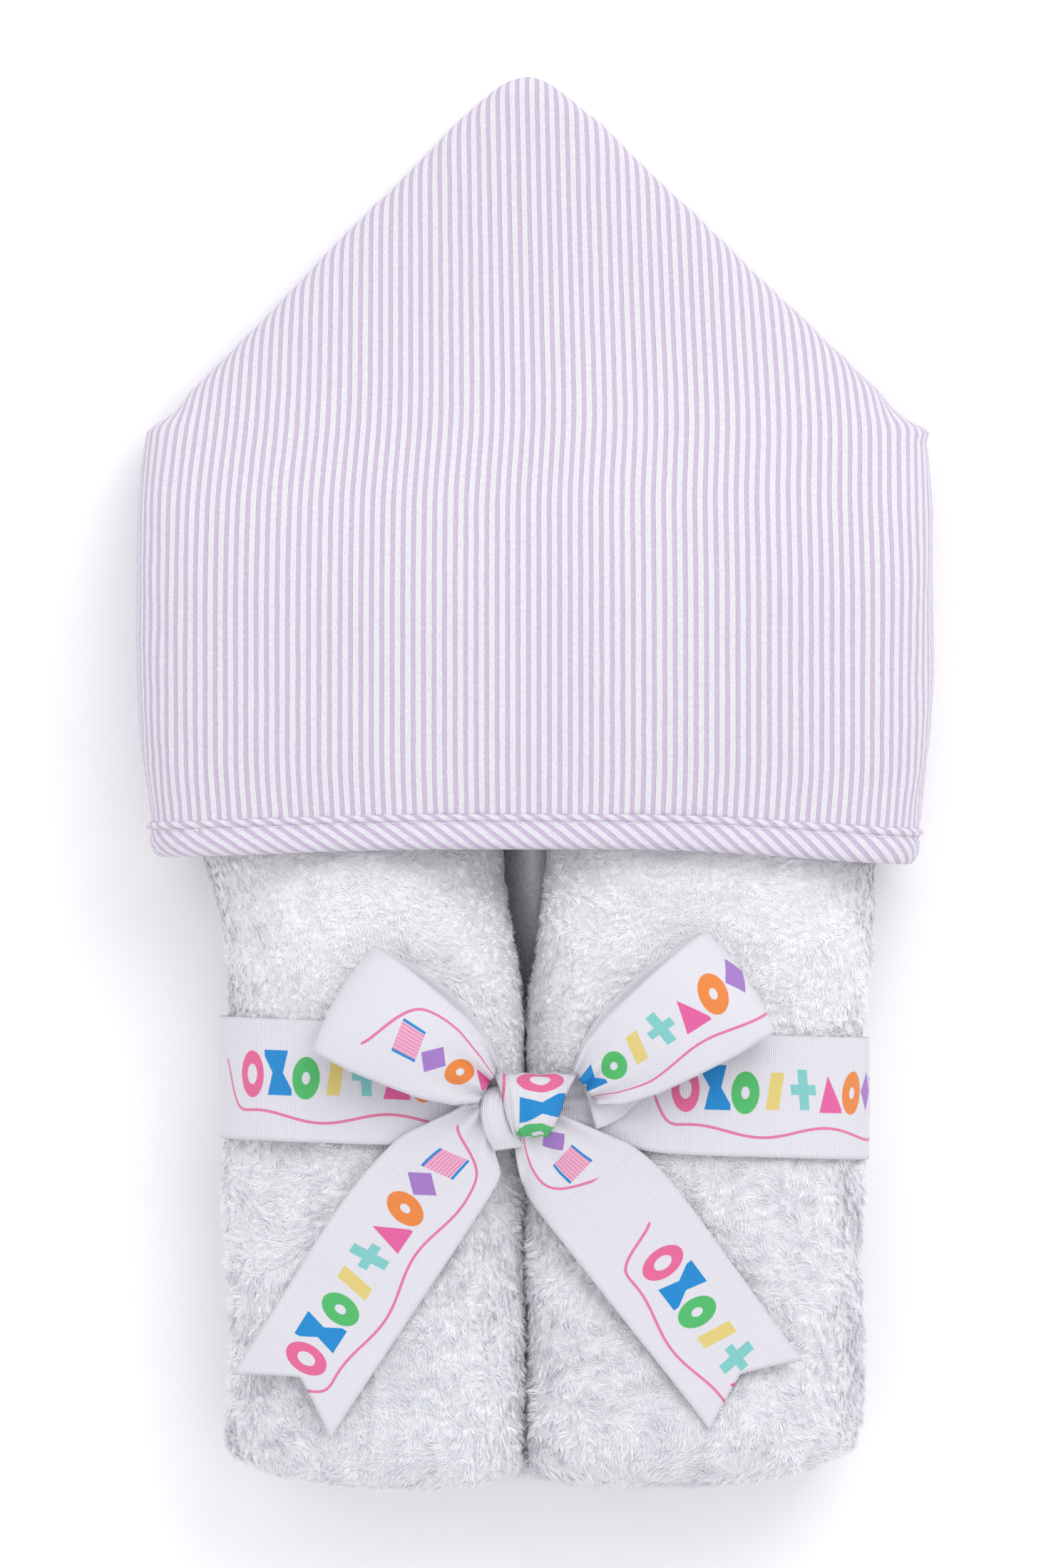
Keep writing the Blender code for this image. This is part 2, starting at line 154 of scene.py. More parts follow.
# Pile yarns from lighter to darker. Tufts differ among them at random, and take darker ones towards
# the rolls' lower end as painted shade.
PILE_TONES = (srgb(249, 249, 251), srgb(247, 247, 250), srgb(241, 241, 246), srgb(229, 230, 236))
TERRY_LIGHT = srgb(246, 246, 249)
TERRY_SHADE = srgb(227, 228, 233)
GROUND_WHITE = srgb(232, 231, 234)
STRIPE_LILAC = srgb(208, 192, 213)
SEERSUCKER_SHADE = srgb(226, 222, 234)
THREAD_WHITE = srgb(243, 243, 247)
THREAD_SHADE = srgb(226, 224, 233)
RIBBON_WHITE = srgb(238, 236, 240)
RIBBON_SHADE = srgb(236, 235, 243)
PURE_WHITE = srgb(255, 255, 255)
FLOOR_SHADE = srgb(253, 253, 254)
PRINT_COLOURS = (
    srgb(242, 112, 160),
    srgb(32, 146, 216),
    srgb(88, 198, 112),
    srgb(240, 218, 130),
    srgb(138, 214, 208),
    srgb(240, 104, 166),
    srgb(248, 144, 70),
    srgb(174, 130, 206),
    srgb(246, 152, 190),
)
LINE_PINK = srgb(238, 130, 172)


# ---- mesh helpers ----


def signed_power(value, exponent):
    return np.sign(value) * np.abs(value) ** exponent


def smoothstep(value):
    share = np.clip(value, 0.0, 1.0)
    return share * share * (3 - 2 * share)


def bell(offset, reach):
    """1 where the offset is 0, and close to 0 from twice the reach on."""
    return np.exp(-((offset / reach) ** 2))


def unit(vectors):
    return vectors / np.linalg.norm(vectors, axis=-1, keepdims=True)


def cloth_places(across, along):
    """Places in the flat cloth. Each has its place across the cloth, and along it."""
    return np.stack(np.broadcast_arrays(across, along), axis=-1)


def facing(normal, toward):
    """The normals, turned over if they don't look the same way as toward."""
    return normal if (normal * toward).sum() >= 0 else -normal


def points_of(node):
    """The corner points of a CAD node."""
    return np.array([v.co for v in frame["nodes"][node].data.vertices])


def stations_of(node):
    """The CAD node's stations along Y, as rows of y, lowest x, highest x, lowest z, highest z."""
    points = points_of(node)
    rows = []
    for y in np.unique(points[:, 1].round(5)):
        at = points[np.abs(points[:, 1] - y) < 2e-5]
        rows.append((y, at[:, 0].min(), at[:, 0].max(), at[:, 2].min(), at[:, 2].max()))
    return np.array(rows)


def profile(ys, values, softness):
    """A function of y through the values, with its corners rounded over about softness."""
    step = 0.0005
    fine = np.arange(ys[0], ys[-1] + step / 2, step)
    level = np.interp(fine, ys, values)
    reach = int(2.5 * softness / step)
    weights = np.exp(-0.5 * (np.arange(-reach, reach + 1) * step / softness) ** 2)
    extended = np.pad(level, reach, mode="reflect", reflect_type="odd")
    soft = np.convolve(extended, weights / weights.sum(), mode="valid")
    return lambda y: np.interp(y, fine, soft)


def slope_stretch(curve, y):
    """How much longer a surface is than its run along Y, where its profile slopes."""
    reach = 0.002
    return np.hypot(1.0, (curve(y + reach) - curve(y - reach)) / (2 * reach))


def normals_of(grid, closed=False):
    """Unit normals of a grid of points, rows by columns."""
    if closed:
        wide = np.concatenate([grid[:, -1:], grid, grid[:, :1]], axis=1)
        across = (wide[:, 2:] - wide[:, :-2]) / 2
    else:
        across = np.gradient(grid, axis=1)
    along = np.gradient(grid, axis=0)
    normal = np.cross(across, along)
    return normal / np.maximum(np.linalg.norm(normal, axis=2, keepdims=True), 1e-12)


def run_lengths(points):
    """Distance from the first point to each point of a line of points."""
    steps = np.linalg.norm(np.diff(points, axis=0), axis=1)
    return np.concatenate([[0.0], np.cumsum(steps)])


def even_run(length, spacing):
    """Distances from 0 to a length, evenly apart by about the spacing."""
    return np.linspace(0, length, max(2, int(round(length / spacing))) + 1)


def even_values(values, points, spacing):
    """Values re-spaced so that their points along a line lie evenly, about spacing apart."""
    run = run_lengths(points)
    return np.interp(even_run(run[-1], spacing), run, values)


def smooth_path(points, spacing):
    """An even line through a list of points, rounded by a Catmull-Rom curve."""
    p = np.array(points, float)
    p = np.concatenate([[2 * p[0] - p[1]], p, [2 * p[-1] - p[-2]]])
    t = np.linspace(0, 1, 24, endpoint=False)[:, None]
    pieces = []
    for a, b, c, d in zip(p, p[1:], p[2:], p[3:]):
        bend = (2 * a - 5 * b + 4 * c - d) * t**2 + (3 * b - a - 3 * c + d) * t**3
        pieces.append(0.5 * (2 * b + (c - a) * t + bend))
    fine = np.concatenate([*pieces, p[-2:-1]])
    run = run_lengths(fine[:, :3])
    even = even_run(run[-1], spacing)
    return np.stack([np.interp(even, run, fine[:, i]) for i in range(fine.shape[1])], axis=1)


def waves(u, v, wavelength, seed, count=7):
    """A smooth, random-looking ripple from -1 to 1 over a surface, about one wavelength long."""
    rng = np.random.default_rng(seed)
    total = np.zeros(np.broadcast(u, v).shape)
    for _ in range(count):
        angle = rng.uniform(0, 2 * math.pi)
        rate = 2 * math.pi / (wavelength * rng.uniform(0.7, 1.6))
        phase = rng.uniform(0, 2 * math.pi)
        total += np.sin(rate * (u * math.cos(angle) + v * math.sin(angle)) + phase)
    return total / math.sqrt(count * 2)


def new_piece(name, points, faces, finish, cloth=None):
    """A shaded mesh object from an array of points and a list of faces. cloth is each face
    corner's place in the flat cloth, in metres."""
    mesh = bpy.data.meshes.new(name)
    mesh.from_pydata(points.tolist(), [], faces)
    if cloth is not None:
        layer = mesh.uv_layers.new(name="cloth")
        layer.data.foreach_set("uv", cloth.astype(np.float32).ravel())
    mesh.shade_smooth()
    mesh.materials.append(finish)
    piece = bpy.data.objects.new(name, mesh)
    bpy.context.scene.collection.objects.link(piece)
    return piece


def cells(grid, *flat):
    """The four corners of each cell of a grid, in turn and the other way round."""
    a, b, c, d = grid[:-1, :-1], grid[:-1, 1:], grid[1:, 1:], grid[1:, :-1]
    turned = (np.stack(corners, axis=2) for corners in ((a, b, c, d), (a, d, c, b)))
    return [corners.reshape(-1, 4, *flat) for corners in turned]


def thick_sheet(name, outer, inner, cloth, finish, closed=False, back=0.0):
    """A closed sheet between two grids of points. cloth has each point's place in the flat cloth,
    and one more column than the points where the sheet closes on itself. back is added to the
    place on the inner face."""
    rows, columns = outer.shape[:2]
    index = np.arange(rows * columns).reshape(rows, columns)
    if closed:
        index = np.concatenate([index, index[:, :1]], axis=1)
    size = rows * columns
    faces = cells(index)
    faces[1] = faces[1] + size
    places = cells(cloth, 2)
    places[1] = places[1] + (back, 0.0)
    rims = [(index[0], cloth[0], True), (index[-1], cloth[-1], False)]
    if not closed:
        rims.append((index[:, 0], cloth[:, 0], False))
        rims.append((index[:, -1], cloth[:, -1], True))
    for edge, place, backward in rims:
        if backward:
            edge, place = edge[::-1], place[::-1]
        low, high = edge[:-1], edge[1:]
        faces.append(np.stack([low, high, high + size, low + size], -1))
        places.append(np.stack([place[:-1], place[1:], place[1:], place[:-1]], -2))
    points = np.concatenate([outer.reshape(-1, 3), inner.reshape(-1, 3)])
    faces = np.concatenate(faces)
    places = np.concatenate(places)
    corner = points[faces]
    first = np.einsum("ij,ij->i", corner[:, 0], np.cross(corner[:, 1], corner[:, 2]))
    second = np.einsum("ij,ij->i", corner[:, 0], np.cross(corner[:, 2], corner[:, 3]))
    if (first + second).sum() < 0:
        faces, places = faces[:, ::-1], places[:, ::-1]
    return new_piece(name, points, faces.tolist(), finish, places)


def ribbon_sheet(name, grid, cloth, behind, closed=False):
    """Ribbon of the real thickness about a grid of points on its middle. Its printed face looks
    away from the point behind."""
    normal = facing(normals_of(grid, closed), grid - behind)
    half = normal * RIBBON_THICKNESS / 2
    ribbon = thick_sheet(name, grid + half, grid - half, cloth, GROSGRAIN, closed, UNPRINTED)
    return ribbon


# ---- material helpers ----


class Value:
    """What a material's node gives. A sum with it makes the node for that sum."""

    def __init__(self, shading, socket):
        self.shading = shading
        self.socket = socket

    def __add__(self, other):
        return self.shading.math("ADD", self, other)

    def __sub__(self, other):
        return self.shading.math("SUBTRACT", self, other)

    def __rsub__(self, other):
        return self.shading.math("SUBTRACT", other, self)

    def __mul__(self, other):
        return self.shading.math("MULTIPLY", self, other)

    def __truediv__(self, other):
        return self.shading.math("DIVIDE", self, other)

    def __abs__(self):
        return self.shading.math("ABSOLUTE", self)


class Shading:
    """A material under construction."""

    def __init__(self, name):
        self.material = bpy.data.materials.new(name)
        self.material.use_nodes = True
        self.tree = self.material.node_tree
        self.shader = self.tree.nodes["Principled BSDF"]

    def feed(self, socket, value):
        if isinstance(value, Value):
            self.tree.links.new(value.socket, socket)
        else:
            socket.default_value = value

    def node(self, kind, inputs=(), output=0, **settings):
        """One output of a new node, whose inputs are fed by their names or numbers."""
        made = self.tree.nodes.new(kind)
        for key, value in settings.items():
            setattr(made, key, value)
        for key, value in dict(inputs).items():
            self.feed(made.inputs[key], value)
        return Value(self, made.outputs[output])

    def math(self, operation, *values):
        return self.node("ShaderNodeMath", enumerate(values), operation=operation)

    def ripple(self, value, pitch, phase=0.0):
        """A sine wave that repeats once in each pitch."""
        return self.math("SINE", value * (2 * math.pi / pitch) + phase)

    def soft_step(self, value, low, high):
        inputs = {"Value": value, "From Min": low, "From Max": high}
        return self.node("ShaderNodeMapRange", inputs, interpolation_type="SMOOTHSTEP")

    def mix(self, share, first, second, blend="MIX"):
        inputs = {0: share, 6: first, 7: second}
        return self.node("ShaderNodeMix", inputs, 2, data_type="RGBA", blend_type=blend)

    def pick(self, value, colours):
        """The first colour where the value is from 0 to 1, the second from 1 to 2, and so on."""
        picked = self.node("ShaderNodeValToRGB", {0: value / len(colours)})
        ramp = picked.socket.node.color_ramp
        ramp.interpolation = "CONSTANT"
        ramp.elements.remove(ramp.elements[-1])
        ramp.elements[0].color = colours[0]
        for number, colour in enumerate(colours[1:], 1):
            ramp.elements.new(number / len(colours)).color = colour
        return picked

    def object_place(self):
        return self.node("ShaderNodeTexCoord", output="Object")

    def cloth_place(self):
        """Place across and along the flat cloth, in millimetres."""
        place = self.node("ShaderNodeUVMap", uv_map="cloth")
        across, along = (self.node("ShaderNodeSeparateXYZ", {0: place}, i) for i in (0, 1))
        return across * MM, along * MM

    def noise(self, place, scale, detail=2.0, roughness=0.5):
        """Noise over a place, which is a socket's value or a pair of them."""
        if isinstance(place, tuple):
            place = self.node("ShaderNodeCombineXYZ", enumerate(place))
        inputs = {"Vector": place, "Scale": scale, "Detail": detail, "Roughness": roughness}
        return self.node("ShaderNodeTexNoise", inputs)

    def bump(self, height, distance, strength, under=None):
        inputs = {"Height": height, "Distance": distance, "Strength": strength}
        if under is not None:
            inputs["Normal"] = under
        return self.node("ShaderNodeBump", inputs)

    def finish(self, colour, roughness, sheen, normal=None, specular=0.25):
        self.feed(self.shader.inputs["Base Color"], colour)
        self.feed(self.shader.inputs["Roughness"], roughness)
        self.feed(self.shader.inputs["Sheen Weight"], sheen)
        self.feed(self.shader.inputs["Specular IOR Level"], specular)
        if normal is not None:
            self.feed(self.shader.inputs["Normal"], normal)
        return self.material


def terry_material():
    """White terry: soft clumps of pile, and fine fibres in them."""
    m = Shading("terry")
    clumps = m.noise(m.object_place(), 620.0, 3.0, 0.6)
    fibres = m.noise(m.object_place(), 2100.0, 3.0, 0.65)
    shade = m.soft_step(fibres * 0.8 + clumps, 0.62, 1.12)
    colour = m.mix(shade, TERRY_SHADE, TERRY_LIGHT)
    low = m.bump(clumps, 0.0013, 0.9)
    return m.finish(colour, clumps * 0.1 + 0.85, 0.25, m.bump(fibres, 0.0005, 0.8, low))


def yarn_material(name, colour):
    """Plain white yarn, for the loops of the terry."""
    return Shading(name).finish(colour, 0.9, 0.15, specular=0.2)


def seersucker_material(name, bias_degrees=0.0):
    """White and lilac stripes of puckered cotton, along the cloth or on the bias."""
    m = Shading(name)
    across, along = m.cloth_place()
    if bias_degrees:
        cosine, sine = math.cos(math.radians(bias_degrees)), math.sin(math.radians(bias_degrees))
        across, along = along * cosine + across * sine, along * sine - across * cosine
    wander = m.noise((across * 0.25, along * 0.1), 1.0)
    phase = m.math("FRACT", (wander * 0.3 + across) / (STRIPE_REPEAT * MM))
    edge = 0.5 - STRIPE_SHARE / 2
    stripe = m.soft_step(abs(phase - 0.5), edge - 0.028, edge + 0.028)
    weave = (m.ripple(across, 0.46) + m.ripple(along, 0.40)) * 0.25
    slubs = m.noise((across * 2.0, along * 0.6), 1.3, 3.0)
    grain_and_shade = m.soft_step(weave * 0.22 + slubs, 0.2, 0.85)
    colour = m.mix(stripe, GROUND_WHITE, STRIPE_LILAC)
    # painted shade between the threads of the weave, and the yarn's own slubs that differ in tone at
    # random
    colour = m.mix(0.75, colour, m.mix(grain_and_shade, SEERSUCKER_SHADE, PURE_WHITE), "MULTIPLY")
    crinkle = m.noise((across * 0.55, along * 0.42), 1.0, 3.0)
    low = m.bump(crinkle * (1.0 - stripe * 0.75), 0.0007, 0.75)
    return m.finish(colour, slubs * 0.15 + 0.75, 0.12, m.bump(weave, 0.00008, 0.5, low))


def thread_material():
    m = Shading("thread")
    twist = m.noise(m.object_place(), 3000.0)
    colour = m.mix(twist, THREAD_WHITE, THREAD_SHADE)
    return m.finish(colour, 0.6, 0.1, m.bump(twist, 0.0002, 0.5))


def print_shapes(m, x, y):
    """Signed distances, in millimetres, from the edges of the printed shapes, in their order."""
    wide, tall = abs(x), abs(y)

    def ring(half_height, half_line):
        """An upright oval ring. Its outline is 4.4 to each side of its middle."""
        radius = 4.4 - half_line
        low = y * (radius / half_height)
        return abs(m.math("SQRT", x * x + low * low) - radius) - half_line

    def block(half_width, half_height):
        return m.math("MAXIMUM", wide - half_width, tall - half_height)

    hourglass = m.math("MAXIMUM", wide - (tall * 0.40 + 1.8), tall - 7.0)
    cross = m.math("MINIMUM", block(1.6, 6.3), block(4.2, 1.6))
    triangle = m.math("MAXIMUM", wide * 0.92 + y * 0.36 - 2.15, -5.6 - y)
    diamond = wide * 0.82 + tall * 0.57 - 3.55
    return (
        ring(5.2, 1.25),
        hourglass,
        ring(4.3, 1.55),
        block(2.1, 5.8),
        cross,
        triangle,
        ring(4.3, 1.6),
        diamond,
        block(3.9, 5.9),
    )


def printed_row(m, across, along_row):
    """Where the row of shapes is printed, and its colours. Its last shape is a striped block."""
    pitch = MOTIF_PITCH * MM
    number = m.math("FLOOR", along_row / pitch)
    y = across - (m.math("SINE", number * 2.1) * 0.8 + 1.6)
    x = y * (m.math("SINE", number * 1.7) * 0.16) + (along_row - (number + 0.5) * pitch)
    distance = 10.0  # millimetres, where there's no shape
    for kind, from_edge in enumerate(print_shapes(m, x, y)):
        chosen = m.math("COMPARE", number, float(kind), 0.5)
        distance = from_edge * chosen + (1.0 - chosen) * distance
    last = m.math("COMPARE", number, len(PRINT_COLOURS) - 1.0, 0.5)
    bars = m.soft_step(m.ripple(y, 1.25), 0.1, 0.6)
    ink = m.mix(bars * last * 0.5, m.pick(number + 0.5, PRINT_COLOURS), RIBBON_WHITE)
    ends = m.soft_step(abs(y), 4.8, 5.0)
    ink = m.mix(ends * last, ink, PRINT_COLOURS[1])
    return m.soft_step(distance, 0.10, -0.10), ink


def thin_line(m, across, along_row):
    """Where the thin line is printed: in waves under the row, and curled up at its ends."""
    row = MOTIF_PITCH * MM * len(PRINT_COLOURS)
    wave, swing, phase = 43.0, 1.7, 0.6
    height = m.ripple(along_row, wave, phase) * swing - 11.2
    slope = m.ripple(along_row, wave, phase + math.pi / 2) * (swing * 2 * math.pi / wave)
    for place, reach, rise in ((-LINE_LEAD, 5.0, 18.0), (row + 8.0, 6.0, 19.0)):
        off = (along_row - place) / reach
        curl = m.math("EXPONENT", off * off * -1.0)
        height = curl * rise + height
        slope = curl * off * (-2 * rise / reach) + slope
    steep = m.math("SQRT", slope * slope + 1.0)
    line = m.soft_step(abs(across - height) / steep, 0.55, 0.36)
    line = line * m.soft_step(along_row, row + 7.6, row + 7.2)
    return line * m.soft_step(along_row, 0.3 - LINE_LEAD, 0.8 - LINE_LEAD)


def grosgrain_material():
    """Ribbed ribbon printed with a row of plain shapes, and a thin line that runs under them."""
    m = Shading("grosgrain")
    across, along = m.cloth_place()
    repeat = PRINT_REPEAT * MM
    along_row = m.math("MODULO", along + (10 * repeat + LINE_LEAD), repeat) - LINE_LEAD
    motif, ink = printed_row(m, across, along_row)
    colour = m.mix(thin_line(m, across, along_row), RIBBON_WHITE, LINE_PINK)
    colour = m.mix(motif, colour, ink)
    ribs = m.ripple(along, RIB_PITCH * MM)
    yarn = m.noise((across * 1.6, along * 1.6), 1.0)
    grain_and_shade = m.soft_step(yarn * 0.2 + ribs, -1.0, 1.1)
    # painted shade in the grooves between the ribs, and yarn that differs in tone at random
    colour = m.mix(1.0, colour, m.mix(grain_and_shade, RIBBON_SHADE, PURE_WHITE), "MULTIPLY")
    return m.finish(colour, yarn * 0.15 + 0.48, 0.08, m.bump(ribs, 0.00010, 0.9))


TERRY = terry_material()
PILE_YARNS = [yarn_material(f"terry_yarn_{n}", colour) for n, colour in enumerate(PILE_TONES, 1)]
SEERSUCKER = seersucker_material("seersucker")
BIAS_SEERSUCKER = seersucker_material("seersucker_bias", BIAS_DEGREES)
THREAD = thread_material()
GROSGRAIN = grosgrain_material()

# ---- shapes read from the frame ----

mouth = stations_of("hood_binding")[0]
MOUTH_Y = mouth[0]
BINDING_PROUD = 0.0006
hood_rows = np.concatenate([mouth[None, :], stations_of("hood_outer_front")])
hood_rows[0] += (0, BINDING_PROUD, -BINDING_PROUD, 0, -BINDING_PROUD)
hood_line_left = profile(hood_rows[:, 0], hood_rows[:, 1], 0.0013)
hood_line_right = profile(hood_rows[:, 0], hood_rows[:, 2], 0.0013)
hood_fold = profile(hood_rows[:, 0], hood_rows[:, 3], 0.0060)
hood_top = profile(hood_rows[:, 0], hood_rows[:, 4], 0.0060)

left_rows = stations_of("towel_left_roll")
right_rows = stations_of("towel_right_roll")
panel_rows = stations_of("towel_back_panel")
ROLL_END_Y = left_rows[0, 0]
ROLL_TOP_Y = left_rows[-1, 0]
OUTER_SIDES = (
    profile(left_rows[:, 0], left_rows[:, 1], 0.0025),
    profile(right_rows[:, 0], right_rows[:, 2], 0.0025),
)
INNER_SIDES = (
    profile(left_rows[:, 0], left_rows[:, 2], 0.0025),
    profile(right_rows[:, 0], right_rows[:, 1], 0.0025),
)
roll_top = profile(left_rows[:, 0], left_rows[:, 4], 0.0030)
roll_bottom = profile(panel_rows[:, 0], panel_rows[:, 3], 0.0020)
ROLL_HALF_HEIGHT = (roll_top(-0.1) - roll_bottom(-0.1)) / 2

band_low, band_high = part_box("ribbon_band")
BAND_SKEW = -0.033
BAND_GATHER_REACH = 0.024  # the band is drawn together this close to the knot
BAND_Y = (band_low.y + band_high.y) / 2 - BAND_SKEW * (band_low.x + band_high.x) / 2

knot_low, knot_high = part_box("ribbon_knot")
KNOT_X = (knot_low.x + knot_high.x) / 2
KNOT_Y = (knot_low.y + knot_high.y) / 2
KNOT_TOP = knot_high.z
KNOT_HALF_HEIGHT = 0.0085


# ---- towel ----


def towel_end(p):
    """Where the folded lower end of each lap lies along Y."""
    turn = np.maximum(np.abs(p) - 1.0, 0.0)
    outward = np.sin(turn)
    side_rise = np.where(p < 0, 0.0090, 0.0125)
    cleft_rise = np.where(p < 0, 0.0045, 0.0010)
    lap = turn / (2 * math.pi)
    rise = np.where(outward > 0, side_rise, cleft_rise) * outward**2 / (1 + 0.8 * lap)
    ragged = 0.0011 * np.sin(1.3 * turn + np.where(p < 0, 0.4, 2.1)) * np.minimum(lap * 2, 1.0)
    return ROLL_END_Y + 0.0004 + rise + ragged


def cleft_opening(y):
    """0 where the rolls press against each other, and 1 where the cleft between them is open."""
    return smoothstep((y - CLEFT_OPENS_Y) / 0.05)


def cleft_power(left, y):
    """How square a roll is beside the cleft. The left one is rounder where the cleft opens."""
    return CLEFT_POWER - np.where(left, 2.3, 0.6) * cleft_opening(y)


def laps_in(turn):
    """Whole laps in a turn round the roll. Beside the cleft it slides over to the next number."""
    laps = np.floor(turn / (2 * math.pi))
    return laps + smoothstep((turn / math.pi - 2 * laps - 1.5) / 0.4)


def roll_softness(turn, side, y):
    """Long soft waves of a roll's surface, and shorter random ones."""
    soft = 0.0008 * np.sin(2 * turn + 40 * y) + 0.0007 * np.sin(3 * turn - 65 * y + side)
    soft = soft + 0.0006 * np.sin(turn + 95 * y + 2 * side)
    return soft + 0.00045 * waves(0.04 * turn + 0.3 * side, y, 0.013, 11)


def roll_sides(left, y):
    """X of a roll at its two sides: beside the cleft, and on the outside."""
    inner = np.where(left, INNER_SIDES[0](y), INNER_SIDES[1](y))
    outer = np.where(left, OUTER_SIDES[0](y), OUTER_SIDES[1](y))
    return inner, outer


def towel_at(p, w, radius=FOLD_RADIUS):
    """A point of the folded and rolled towel.

    p runs across the cloth: its size is up to 1 on the flat part under the rolls, then 1 more
    than the angle turned round the roll, and it is negative on the left. w runs along the cloth
    from the fold at the lower end, positive on the ply that lies outside. radius is the fold's, on
    the side of the cloth that the point is on.
    """
    p, w = np.broadcast_arrays(p, w)
    end = towel_end(p)
    bend = np.clip(math.pi / 2 - w / FOLD_RADIUS, 0.0, math.pi)
    spare = (ROLL_TOP_Y - end - FOLD_RADIUS) / (ROLL_TOP_Y - ROLL_END_Y - FOLD_RADIUS)
    y = end + FOLD_RADIUS - radius * np.sin(bend) + np.maximum(np.abs(w) - FOLD_QUARTER, 0.0) * spare
    depth = FOLD_RADIUS - radius * np.cos(bend)

    left = p < 0
    flat_share = np.minimum(np.abs(p), 1.0)
    turn = np.maximum(np.abs(p) - 1.0, 0.0)
    side = np.where(left, -1.0, 1.0)
    inner, outer = roll_sides(left, y)
    bottom, top = roll_bottom(y), roll_top(y)
    middle = (inner + outer) / 2
    between = sum((INNER_SIDES[i](y) + OUTER_SIDES[i](y)) / 2 for i in (0, 1)) / 2
    squeeze = np.minimum((top - bottom) / 2 / ROLL_HALF_HEIGHT, 1.0)
    power = np.where(np.sin(turn) < 0, cleft_power(left, y), ROLL_POWER)
    dip = MOUTH_DIP * bell(y - MOUTH_Y - 0.004, 0.017)
    beside_cleft = bell(np.mod(turn, 2 * math.pi) - 1.5 * math.pi, 0.5)
    uneven = (roll_softness(turn, side, y) + 0.0009) * np.minimum(turn, 1.0)
    inset = PILE_ROOM + uneven * (1 - 0.8 * beside_cleft)
    opening = cleft_opening(y)
    inset = inset - (0.0017 - 0.0026 * opening) * beside_cleft
    inset = inset + (depth + LAP_PITCH * laps_in(turn)) * squeeze
    half_width = np.abs(outer - inner) / 2 - inset
    half_height = (top - bottom) / 2 - inset
    across = side * half_width * signed_power(np.sin(turn), 2 / power)
    rise = -half_height * signed_power(np.cos(turn), 2 / power)
    x = between + (middle - between) * flat_share + across
    z = (bottom + top) / 2 + rise
    z = z - dip * smoothstep((z - (bottom + top) / 2) / half_height)
    z = z + CLEFT_RIDGE * opening * (turn == 0) * bell(x - between, 0.0085)
    return np.stack([x, y, z], axis=-1)


def towel_columns():
    """Values of p across the whole cloth, close together where the cloth shows."""
    shown = np.linspace(0.0, SHOWN_TURN, 1200)
    line = towel_at(1.0 + shown, GIRTH_W)
    shown = even_values(shown, line, 0.0026)
    hidden = np.linspace(SHOWN_TURN, 2 * math.pi * ROLL_TURNS, 64)[1:]
    flat = np.concatenate([np.linspace(0.0, 0.4, 15)[1:], np.linspace(0.4, 1.0, 6)[1:-1]])
    right = np.concatenate([flat, 1.0 + shown, 1.0 + hidden])
    return np.concatenate([-right[::-1], [0.0], right])


def towel_rows():
    """Values of w from the hidden upper end, round the fold, and back up the inside ply."""
    whole = ROLL_TOP_Y - ROLL_END_Y - FOLD_RADIUS + FOLD_QUARTER
    shown = FOLD_QUARTER + MOUTH_Y + 0.016 - ROLL_END_Y
    hidden = np.linspace(whole, shown, 9)[:-1]
    outside = np.linspace(shown, FOLD_QUARTER, 80)[:-1]
    fold = np.linspace(FOLD_QUARTER, -FOLD_QUARTER, 9)
    inside = np.linspace(-FOLD_QUARTER, -whole, 12)[1:]
    return np.concatenate([hidden, outside, fold, inside])


def build_towel():
    p = towel_columns()
    w = towel_rows()
    outer = towel_at(p[None, :], w[:, None])
    inner = towel_at(p[None, :], w[:, None], FOLD_RADIUS - PLY)
    run = run_lengths(outer[40])
    cloth = cloth_places(run[None, :], w[:, None])
    towel = thick_sheet("towel_cloth", outer, inner, cloth, TERRY)
    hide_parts("towel_left_roll", "towel_right_roll", "towel_back_panel")
    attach(towel, "towel")


def turns_between(side, low, high, count, rng):
    """Random turns round a roll that lie evenly over its surface."""
    turns = np.linspace(low, high, 600)
    run = run_lengths(towel_at(side * (1 + turns), GIRTH_W))
    return np.interp(rng.uniform(0, run[-1], count), run, turns)


def strands(name, root, tip, wide, under, tone):
    """Strands of pile, each a thin closed spike with its flat side up. wide and under reach from
    the strand's middle to its sides and to its underside, and tone numbers its yarn."""
    count = len(root)
    points = np.stack((tip, root - wide, root + wide, root - under), axis=1).reshape(-1, 3)
    first = 4 * np.arange(count)[:, None]
    sides = ((0, 1, 2), (0, 2, 3), (0, 3, 1), (1, 3, 2))
    faces = np.stack([first + side for side in sides], axis=1).reshape(-1, 3)
    pile = new_piece(name, points, faces.tolist(), PILE_YARNS[0])
    for yarn in PILE_YARNS[1:]:
        pile.data.materials.append(yarn)
    yarns = np.clip(tone, 0, len(PILE_YARNS) - 1).astype(np.int32)
    pile.data.polygons.foreach_set("material_index", np.repeat(yarns, len(sides)))
    pile.data.shade_flat()
    return pile


